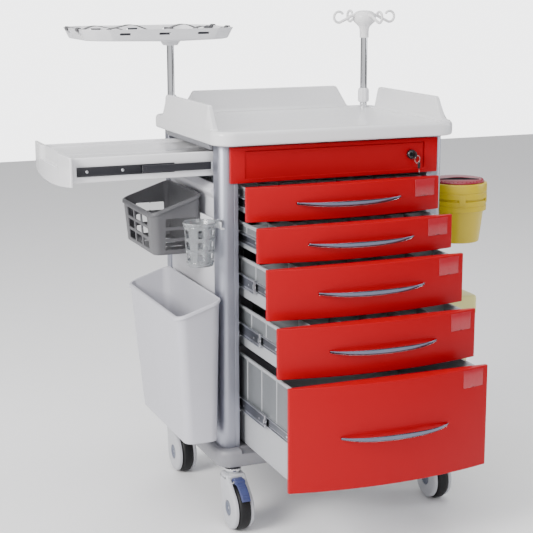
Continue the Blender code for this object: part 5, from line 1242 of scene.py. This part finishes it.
def end_plate():
    """Plan arc of 16 mm at its middle; a flat elliptic cut above leaves the grip's ledge."""
    py0, py1 = low[1], high[1]
    u = np.linspace(-1, 1, 41)
    arc = np.stack([sx0 - mm(6) - mm(10) * (1 - u ** 2), py0 + (py1 - py0) * (u + 1) / 2], 1)
    corners = np.concatenate([[[sx0, py1], [sx0, py0]], arc])
    radii = np.zeros(len(corners))
    radii[:3] = mm(2.2)
    radii[-1] = mm(2.2)
    points, faces = slab(fillet(corners, radii, 4), "Z", low[2], high[2], mm(2.0), 4)
    u = (points[:, 1] - (py0 + py1) / 2) / (py1 - py0) * 2
    rise = np.clip(1 - (points[:, 2] - low[2]) / mm(34), 0, 1)
    points[:, 2] += mm(9) * u ** 2 * rise
    t = np.linspace(0, 2 * math.pi, 64, endpoint=False)
    oval = np.stack([np.minimum(sx0 - mm(72) + mm(75) * np.cos(t), sx0 - mm(4.2)),
                     (py0 + py1) / 2 + mm(142) * np.sin(t)], 1)
    keep = np.linalg.norm(oval - np.roll(oval, 1, 0), axis=1) > 1e-6
    oval = counterclockwise(oval[keep])
    rings = [on_axis(inset(oval, mm(a)), low[2] + mm(b), "Z") for a, b in
             ((5.0, 40.0), (2.4, 40.6), (0.8, 42.0), (0, 44.5), (0, 80.0))]
    return carved((points, faces), loft(rings))


body = brick((sx0 - mm(1), sy0, shelf_low), (sx1, sy1, shelf_top), mm(3), mm(2.4))
hollow = brick((sx0 + mm(4), sy0 + mm(3), shelf_low - mm(10)), (sx1 + mm(20), sy1 - mm(3), deck - mm(3)),
               mm(2), mm(1.2))
shapes = [(carved(body, recess_tool(), hollow), shelf_white), (end_plate(), shelf_white)]
for face, sign in ((sy0, -1), (sy1, 1)):
    far = face + sign * mm(4)
    section = [(face - sign * mm(0.4), shelf_z - mm(10)), (far, shelf_z - mm(10)), (far, shelf_z - mm(7.6)),
               (face + sign * mm(1.2), shelf_z - mm(8.2)), (face + sign * mm(1.2), shelf_z + mm(8.2)),
               (far, shelf_z + mm(7.6)), (far, shelf_z + mm(10)), (face - sign * mm(0.4), shelf_z + mm(10))]
    shapes.append((slab(fillet(section, mm(0.5), 3), "X", sx0 + mm(12), sx0 + mm(222), mm(0.4), 2),
                   black_slide))
    for k in range(3):
        head = [(mm(0.1), face + sign * mm(1.0)), (mm(3.2), face + sign * mm(1.0)),
                (mm(3.0), face + sign * mm(1.9)), (mm(1.4), face + sign * mm(2.5)),
                (mm(0.1), face + sign * mm(2.6))]
        shapes.append((turned(head, "Y", (sx0 + mm(34 + 76 * k), shelf_z), 18), zinc))
piece("side_shelf_moulding", "side_shelf", shapes, ["side_shelf"])
for word, sign in (("front", -1), ("rear", 1)):
    low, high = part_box(f"shelf_middle_rail_{word}")
    near, far = (high[1], low[1]) if sign < 0 else (low[1], high[1])
    half = (high[2] - low[2]) / 2
    section = [(near, shelf_z - half), (near, shelf_z - half + mm(2.0)),
               (far - sign * mm(1.3), shelf_z - half + mm(2.4)),
               (far - sign * mm(1.3), shelf_z + half - mm(2.4)), (near, shelf_z + half - mm(2.0)),
               (near, shelf_z + half), (far, shelf_z + half), (far, shelf_z - half)]
    web = slab(fillet(section, mm(0.5), 3), "X", low[0], high[0], mm(0.4), 2)
    stop = brick((low[0], low[1] + mm(0.1), shelf_z - mm(3.5)),
                 (low[0] + mm(9), high[1] - mm(0.1), shelf_z + mm(3.5)),
                 mm(0.8), mm(0.4), "Y")
    piece(f"shelf_middle_member_{word}", "shelf_middle_rails",
          [(web, black_slide), (stop, zinc)],
          [f"shelf_middle_rail_{word}"])


# ------------------------------------------------------------------ basket and cup
# Both hang on the upper left rail: a dark grey injection-moulded basket with a falling rim and
# large openings, and a clear perforated cup with moulded rings.
basket_pp = moulded("dark_grey_polypropylene", "5C5C5F", 0.48, mm(0.6), mm(0.04))
clear_pc = moulded("clear_polycarbonate", "C9CDD0", 0.16, mm(2.0), mm(0.01), 0.02, 0.2, 0.0, 1.58, 0.84)


def vessel_shape(side, xs, ys, zs, taper, corner, lip):
    """Tapered open container: rings up its outside, over a rolled lip and down its inside.

    Each ring mixes the floor's outline with the rim's; the rim falls evenly from cart to outside.
    """
    inner, outer = xs
    floor, rim_in, rim_out = zs
    wall = mm(2.5)
    plans = []
    for x0, x1, y0, y1 in ((inner, outer - taper[0], ys[0] + taper[1], ys[1] - taper[1]),
                           (inner, outer, ys[0], ys[1])):
        plans.append(counterclockwise(fillet([(x0, y0), (x1, y0), (x1, y1), (x0, y1)], corner, 8)))
    steps = [(0, 4.5, 0, 0), (0, 2.0, 0, 0.4), (0, 0.5, 0, 1.8), (0, 0, 0, 4), (1, 0, 1, -9.5),
             (1, -0.5, 1, -8.4),
             (1, -lip / mm(1) * 0.8, 1, -7.8), (1, -lip / mm(1), 1, -7.0), (1, -lip / mm(1), 1, -1.6),
             (1, -lip / mm(1) + 0.5, 1, -0.5), (1, -lip / mm(1) + 1.6, 1, 0), (1, 1.4, 1, 0),
             (1, 2.2, 1, -0.5),
             (1, 2.5, 1, -1.8), (0, 2.5, 0, 7.0), (0, 3.2, 0, 4.2), (0, 5.0, 0, 2.8), (0, 7.5, 0, 2.5)]
    rings = []
    for which, a, from_rim, b in steps:
        plan = inset(plans[which], mm(a))
        plan[:, 0] = np.maximum(plan[:, 0], inner if a < 1.5 else inner + wall)
        if from_rim:
            z = rim_in + (rim_out - rim_in) * (plan[:, 0] - inner) / (outer - inner) + mm(b)
        else:
            z = np.full(len(plan), floor + mm(b))
        plan[:, 0] = middle + side * plan[:, 0]
        rings.append(np.concatenate([plan, z[:, None]], 1))
    return loft(rings)


def hook_shape(side, bottom, wall_x, y0, y1):
    """A 3 mm strap over the rail's edge and down behind it, its bends rounded."""
    rail_x = outer_x - middle + mm(1.2)
    edge = rail_x + mm(9 - 2.5)
    z0 = bottom + mm(16.3)
    z1 = z0 + mm(3)
    section = [(rail_x + mm(0.6), bottom + mm(5.5)), (edge - mm(0.8), bottom + mm(5.5)), (edge - mm(0.8), z0),
               (wall_x, z0), (wall_x, z1), (rail_x + mm(0.6), z1)]
    section = fillet(section, mm(np.array([0.6, 0.6, 0.8, 0.3, 0.3, 3.0])), 5)
    section[:, 0] = middle + side * section[:, 0]
    return slab(section, "Y", y0, y1, mm(0.5), 3)


rail_face = outer_x - middle + mm(10.2)
low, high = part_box("basket")
lip = mm(3.5)
inner = rail_face + mm(0.6)
outer = middle - low[0] - lip
ys = (low[1] + lip, high[1] - lip)
floor = low[2]
rim_in = rails["left"][0][0] + mm(59)
heights = (floor, rim_in, rim_in - mm(37))
tools = []
for row_k in range(3):
    z = floor + mm(11.0 + 25.5 * row_k)
    for k in range(3):
        y = ys[0] + mm(36) + (ys[1] - ys[0] - mm(72)) * (k + 0.5) / 3
        tools.append(brick((middle - outer - mm(10), y - mm(22.6), z - mm(0.6)),
                           (middle - outer + mm(30), y + mm(22.4), z + mm(18.8)),
                           mm(3.0), mm(0.3), "X"))
    for x in (middle - outer + mm(48), middle - inner - mm(30)):
        tools.append(brick((x - mm(17), ys[0] - mm(20), z - mm(0.6)),
                           (x + mm(17), ys[1] + mm(20), z + mm(18.3)),
                           mm(3.0), mm(0.3), "Y"))
for k in range(4):
    y = ys[0] + mm(45 + 45.5 * k)
    for j in range(2):
        tools.append(brick((middle - outer + mm(32 + 36 * j), y - mm(8), floor - mm(10)),
                           (middle - outer + mm(62 + 36 * j), y + mm(8), floor + mm(9)), mm(2.5), mm(0.3)))
shapes = [(carved(vessel_shape(-1, (inner, outer), ys, heights, mm(np.array([6, 7])), mm(16), lip), *tools),
           basket_pp)]
for y in (ys[0] + mm(50), ys[1] - mm(80)):
    shapes.append((hook_shape(-1, rails["left"][0][0], inner + mm(1.5), y, y + mm(30)), basket_pp))
piece("basket_moulding", "basket", shapes, ["basket"])

low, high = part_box("cup_holder")
cup_r = (high[1] - low[1]) / 2
cx, cy = low[0] + cup_r, (low[1] + high[1]) / 2
z0, z1 = low[2], low[2] + mm(93)
s, b = cup_r - mm(7.5), cup_r


def cup_profile():
    """Outside with three raised rings, rolled rim, inside and floor, as (radius, height)."""
    up = np.linspace(0.03, 0.93, 60)
    out = s + (b - mm(1.5) - s) * up
    rings = sum(np.exp(-((up - c) / 0.016) ** 2) for c in (0.09, 0.36, 0.63, 0.90))
    outside = np.stack([out + mm(0.9) * rings, z0 + (z1 - z0) * up], 1)
    rim = np.array([[b - mm(0.3), z1 - mm(5.2)], [b, z1 - mm(4.4)], [b, z1 - mm(0.8)], [b - mm(0.7), z1],
                    [b - mm(2.8), z1], [b - mm(3.4), z1 - mm(0.8)]])
    inside = np.array([[s - mm(1.6), z0 + mm(4.5)], [s - mm(3.2), z0 + mm(2.4)], [s - mm(6), z0 + mm(2)]])
    start = np.array([[s - mm(3), z0], [s - mm(0.8), z0 + mm(0.5)], [s, z0 + mm(2)]])
    return np.concatenate([start, outside, rim, inside])


tools = []
for row_k in range(3):
    for k in range(3):
        block = brick((-mm(50), -mm(6.5), z0 + mm(12 + 25 * row_k)),
                      (mm(50), mm(6.5), z0 + mm(29 + 25 * row_k)),
                      mm(3), mm(0.2), "X")
        tools.append(spun(block, math.radians(15 + 60 * k), (cx, cy)))
shapes = [(carved(turned(cup_profile(), "Z", (cx, cy), 64), *tools), clear_pc),
          (hook_shape(-1, rails["left"][0][0], middle - cx - b + mm(2.2), cy - mm(10), cy + mm(10)),
           clear_pc)]
piece("cup_holder_moulding", "cup", shapes, ["cup_holder"])


# ------------------------------------------------------------------ waste bin
# A tapered bin of light grey polypropylene on the lower left rail, its rim rolled and falling
# outwards, hung on two moulded hooks.
bin_pp = moulded("light_grey_polypropylene", "BDBDC5", 0.40, mm(0.7), mm(0.03))
low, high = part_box("waste_bin")
lip = mm(4)
inner = rail_face + mm(3.1)
outer = middle - low[0] - lip
ys = (low[1] + lip, high[1] - lip)
rim_in = rails["left"][1][0] + mm(38)
shapes = [(vessel_shape(-1, (inner, outer), ys, (low[2], rim_in, rim_in - mm(32)), mm(np.array([21, 22])),
                        mm(20),
                        lip), bin_pp)]
for y in (ys[0] + mm(100), ys[1] - mm(90)):
    shapes.append((hook_shape(-1, rails["left"][1][0], inner + mm(1.5), y, y + mm(40)), bin_pp))
piece("waste_bin_moulding", "waste_bin", shapes, ["waste_bin"])


# ------------------------------------------------------------------ sharps container
# A yellow polypropylene can that tapers to its floor, with two stepped bands where lid and
# can lock together, four snap tabs, and a crimson domed lid with a lens-shaped mouth.
sharps_pp = moulded("yellow_polypropylene", "BEA60C", 0.38, mm(0.7), mm(0.03), 0.05)
lid_pp = moulded("crimson_polypropylene", "84102A", 0.34, mm(0.7), mm(0.03), 0.05)
low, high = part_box("sharps_container")
lid_low, lid_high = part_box("sharps_lid")
r2 = (high[1] - low[1]) / 2
cx, cy = high[0] - r2, (low[1] + high[1]) / 2
floor, top = low[2], high[2]
r1, r0 = r2 - mm(7.5), r2 - mm(15.5)
b1, b2 = top - mm(64), top - mm(36)
can = [(r0 - mm(4), floor), (r0 - mm(1.2), floor + mm(0.6)), (r0, floor + mm(2.6)), (r1, b1 - mm(1)),
       (r1 + mm(0.5), b1 - mm(0.3)), (r2 - mm(2), b1), (r2 - mm(1), b1 + mm(0.8)), (r2 - mm(1), b1 + mm(11)),
       (r2 - mm(2.2), b1 + mm(12)), (r2 - mm(2.2), b1 + mm(13.6)), (r2 - mm(1), b1 + mm(14.6)),
       (r2 - mm(1), b2 - mm(4)), (r2 - mm(2), b2 - mm(3)), (r1 + mm(3), b2 - mm(2.4)), (r1 + mm(3), b2),
       (r2 - mm(1.4), b2 + mm(0.8)), (r2, b2 + mm(2.2)), (r2, b2 + mm(13)), (r2 - mm(1), b2 + mm(14.2)),
       (r2 - mm(1), b2 + mm(15.6)), (r2, b2 + mm(16.8)), (r2, top - mm(3)), (r2 - mm(1), top - mm(0.8)),
       (r2 - mm(2.6), top), (r1 - mm(1.6), top), (r1 - mm(2.5), top - mm(1)), (r0 - mm(2.5), floor + mm(5)),
       (r0 - mm(4), floor + mm(3)), (r0 - mm(7), floor + mm(2.5))]
shapes = [(turned(can, "Z", (cx, cy), 80), sharps_pp),
          (hook_shape(1, rails["right"][0][0], cx - middle - r2 + mm(3), cy - mm(12), cy + mm(12)),
           sharps_pp)]
tab = brick((-mm(8), -(r2 + mm(0.0)), b2 - mm(9)), (mm(8), -(r2 - mm(4)), b2 + mm(7)), mm(2.5), mm(1.0), "Y")
for degrees in (-20, 52, 160, 232):
    shapes.append((spun(tab, math.radians(degrees), (cx, cy)), sharps_pp))
piece("sharps_can", "sharps", shapes, ["sharps_container"])
base = lid_low[2]
peak = lid_high[2]
outside = [(r1 + mm(0.4), base), (r1 + mm(1), base + mm(0.6)), (r1 + mm(1), base + mm(2.4)),
           (r1 + mm(0.2), base + mm(3.4)), (r1 - mm(1.6), base + mm(4)), (r1 * 0.86, base + mm(7.3)),
           (r1 * 0.80, base + mm(7.9)), (r1 * 0.62, base + mm(9.0)), (r1 * 0.45, base + mm(9.9)),
           (r1 * 0.2, peak), (mm(0.5), peak)]
inside = [(mm(0.5), peak - mm(2.5)), (r1 * 0.42, peak - mm(4)), (r1 * 0.82, base + mm(4.6)),
          (r1 - mm(4), base + mm(1.4)), (r1 - mm(4), base)]
dome = turned(outside + inside, "Z", (cx, cy), 80, wrap=True)
u = np.linspace(-1, 1, 20)
lens = np.concatenate([np.stack([u, -(1 - u ** 2)], 1), np.stack([u[::-1], (1 - u[::-1] ** 2)], 1)[1:-1]])
lens = lens * [r1 * 0.72, mm(14)] + [0, -mm(24)]
a = math.radians(-22)
lens = lens @ np.array([[math.cos(a), math.sin(a)], [-math.sin(a), math.cos(a)]]) + [cx, cy]
mouth = loft([on_axis(lens, base - mm(20), "Z"), on_axis(lens, peak + mm(20), "Z")])
brim = counterclockwise(lens)
rings = [on_axis(inset(brim, mm(i)), base + mm(k), "Z") for i, k in
         ((-2.2, 2), (-2.2, 8.6), (-1.6, 9.4), (-0.6, 9.6), (0.2, 9.2), (0.2, 2))]
collar = carved(loft(rings), loft([on_axis(inset(brim, mm(0.2)), base - mm(20), "Z"),
                                   on_axis(inset(brim, mm(0.2)), peak + mm(20), "Z")]))
flap = [on_axis(inset(brim, -mm(1)), base + mm(b), "Z") for b in (0.6, 1.8)]
ribs = []
for k in range(36):
    rib = brick((r1 * 0.885, -mm(0.9), base + mm(3.4)), (r1 - mm(1.4), mm(0.9), base + mm(6.6)),
                mm(0.5), mm(0.3), "Z", 2)
    ribs.append((spun(rib, 2 * math.pi * k / 36, (cx, cy)), lid_pp))
piece("sharps_lid_dome", "sharps",
      [(carved(dome, mouth), lid_pp), (collar, collar_black), (loft(flap), collar_black)] + ribs,
      ["sharps_lid"])


# ------------------------------------------------------------------ lidded bin
# A pale yellow lidded bin on the lower right rail: tapered body, overlapping flat lid that is
# hinged along the cart side, with a finger recess in front.
pale_pp = moulded("pale_yellow_polypropylene", "D3CD86", 0.40, mm(0.7), mm(0.03), 0.03)
low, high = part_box("yellow_bin")
lid_low, lid_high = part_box("yellow_bin_lid")
inner = rail_face + mm(3.1)
outer = lid_high[0] - middle - mm(4)
ys = (lid_low[1] + mm(4), lid_high[1] - mm(4))
rim = rails["right"][1][0] + mm(62)
shapes = [(vessel_shape(1, (inner, outer), ys, (low[2], rim, rim), mm(np.array([18, 12])), mm(14),
                        mm(0.01)), pale_pp)]
for y in (ys[0] + mm(26), ys[1] - mm(56)):
    shapes.append((hook_shape(1, rails["right"][1][0], inner + mm(1.5), y, y + mm(30)), pale_pp))
piece("yellow_bin_body", "yellow_bin", shapes, ["yellow_bin"])
x0, x1, y0, y1 = lid_low[0], lid_high[0], lid_low[1], lid_high[1]
rings = []
for a, b in ((0.5, 0), (0, 0.6), (0, 36), (0.5, 39), (1.8, 41.2), (4.0, 42.6), (7, 43.1), (13, 43.3),
             (13.8, 43.5)):
    left, right, front, back = x0 + mm(a), x1 - mm(a), y0 + mm(a), y1 - mm(a)
    plan = fillet([(left, front), (right, front), (right, back), (left, back)],
                  mm(np.array([3, 14, 14, 3])), 8)
    rings.append(on_axis(plan, lid_low[2] + mm(b), "Z"))
shell = loft(rings)
room_plan = counterclockwise(fillet([(x0 - mm(20), y0 + mm(2.2)), (x1 - mm(2.2), y0 + mm(2.2)),
                                     (x1 - mm(2.2), y1 - mm(2.2)), (x0 - mm(20), y1 - mm(2.2))],
                                    mm(np.array([2, 12, 12, 2])), 8))
room = loft([on_axis(room_plan, lid_low[2] - mm(10), "Z"), on_axis(room_plan, rim + mm(0.3), "Z")])
grip = brick(((x0 + x1) / 2 - mm(20), y0 - mm(5), lid_low[2] - mm(8)),
             ((x0 + x1) / 2 + mm(20), y0 + mm(0.9), lid_low[2] + mm(13)), mm(6), mm(0.4), "Y")
piece("yellow_bin_cover", "yellow_bin_lid", [(carved(shell, room, grip), pale_pp)],
      ["yellow_bin_lid"])


# ------------------------------------------------------------------ floor, light and camera
# A plain pale floor under soft light from the upper left, with a weaker fill from the right, a
# faint front light and a broad overhead panel that the glossy tops reflect.  The camera sees an
# even white; only reflections see the dark and bright bands that give the poles their stripes.
floor_paint = moulded("pale_matt_floor", "F6F6F7", 0.7, mm(6.0), mm(0.05), 0.01, 0.0)
ground = bpy.data.meshes.new("floor")
ground.from_pydata([(-6, -6, 0), (6, -6, 0), (6, 6, 0), (-6, 6, 0)], [], [(0, 1, 2, 3)])
ground.materials.append(floor_paint)
ground_plane = bpy.data.objects.new("floor", ground)
bpy.context.scene.collection.objects.link(ground_plane)
world = bpy.data.worlds.new("soft_studio")
world.use_nodes = True
sky = world.node_tree
backdrop = sky.nodes["Background"]
heading = node(sky, "ShaderNodeTexCoord").outputs["Generated"]
around = node(sky, "ShaderNodeTexGradient", {"gradient_type": "RADIAL"}, Vector=heading)
bands = node(sky, "ShaderNodeValToRGB", i0=around.outputs["Fac"])
ramp = bands.color_ramp
for place, grey in ((0.0, 0.55), (0.10, 0.9), (0.29, 0.9), (0.33, 0.08), (0.40, 0.08), (0.44, 0.9),
                    (0.47, 0.9), (0.51, 0.08), (0.57, 0.08), (0.61, 1.0), (0.78, 0.9), (0.83, 0.06),
                    (0.90, 0.08)):
    stop = ramp.elements.new(place)
    stop.color = (grey, grey, grey * 1.02, 1.0)
seen = node(sky, "ShaderNodeLightPath").outputs["Is Camera Ray"]
both = node(sky, "ShaderNodeMix", {"data_type": "RGBA", 7: (3.4, 3.4, 3.44, 1.0)}, i0=seen,
            i6=bands.outputs[0])
sky.links.new(both.outputs[2], backdrop.inputs["Color"])
backdrop.inputs["Strength"].default_value = 1.2
bpy.context.scene.world = world


def softbox(name, place, aim, size, power, tint):
    """An area light at `place` that faces `aim`."""
    data = bpy.data.lights.new(name, "AREA")
    data.shape = "RECTANGLE"
    data.size, data.size_y = size
    data.energy = power
    data.color = linear(tint)[:3]
    lamp = bpy.data.objects.new(name, data)
    lamp.location = place
    direction = np.array(aim, float) - np.array(place, float)
    lamp.rotation_euler = Vector(direction.tolist()).to_track_quat("-Z", "Y").to_euler()
    bpy.context.scene.collection.objects.link(lamp)


centre = [(a + b) / 2 for a, b in zip(*cad_box)]
softbox("key_light", (-3.4, -1.4, 2.4), centre, (1.8, 1.8), 220, "FFFDFA")
softbox("front_light", (-0.4, -4.2, 2.6), centre, (1.6, 1.6), 25, "FFFFFF")
softbox("fill_light", (3.2, -0.6, 1.6), centre, (1.6, 1.6), 35, "F6F9FF")
softbox("top_light", (0.0, 0.3, 3.6), (0, 0, 0.8), (2.6, 2.6), 70, "FFFFFF")
camera = bpy.data.cameras.new("camera")
camera.lens = 90.44
camera.sensor_width = 36.0
view = bpy.data.objects.new("camera", camera)
bpy.context.scene.collection.objects.link(view)
view.matrix_world = (Matrix.Translation((-1.12715, -2.7073, 1.1862)) @ Matrix.Rotation(-0.3830185, 4, "Z")
                     @ Matrix.Rotation(math.pi / 2 - 0.2139133, 4, "X") @ Matrix.Rotation(-0.0025108, 4, "Z"))
bpy.context.scene.camera = view
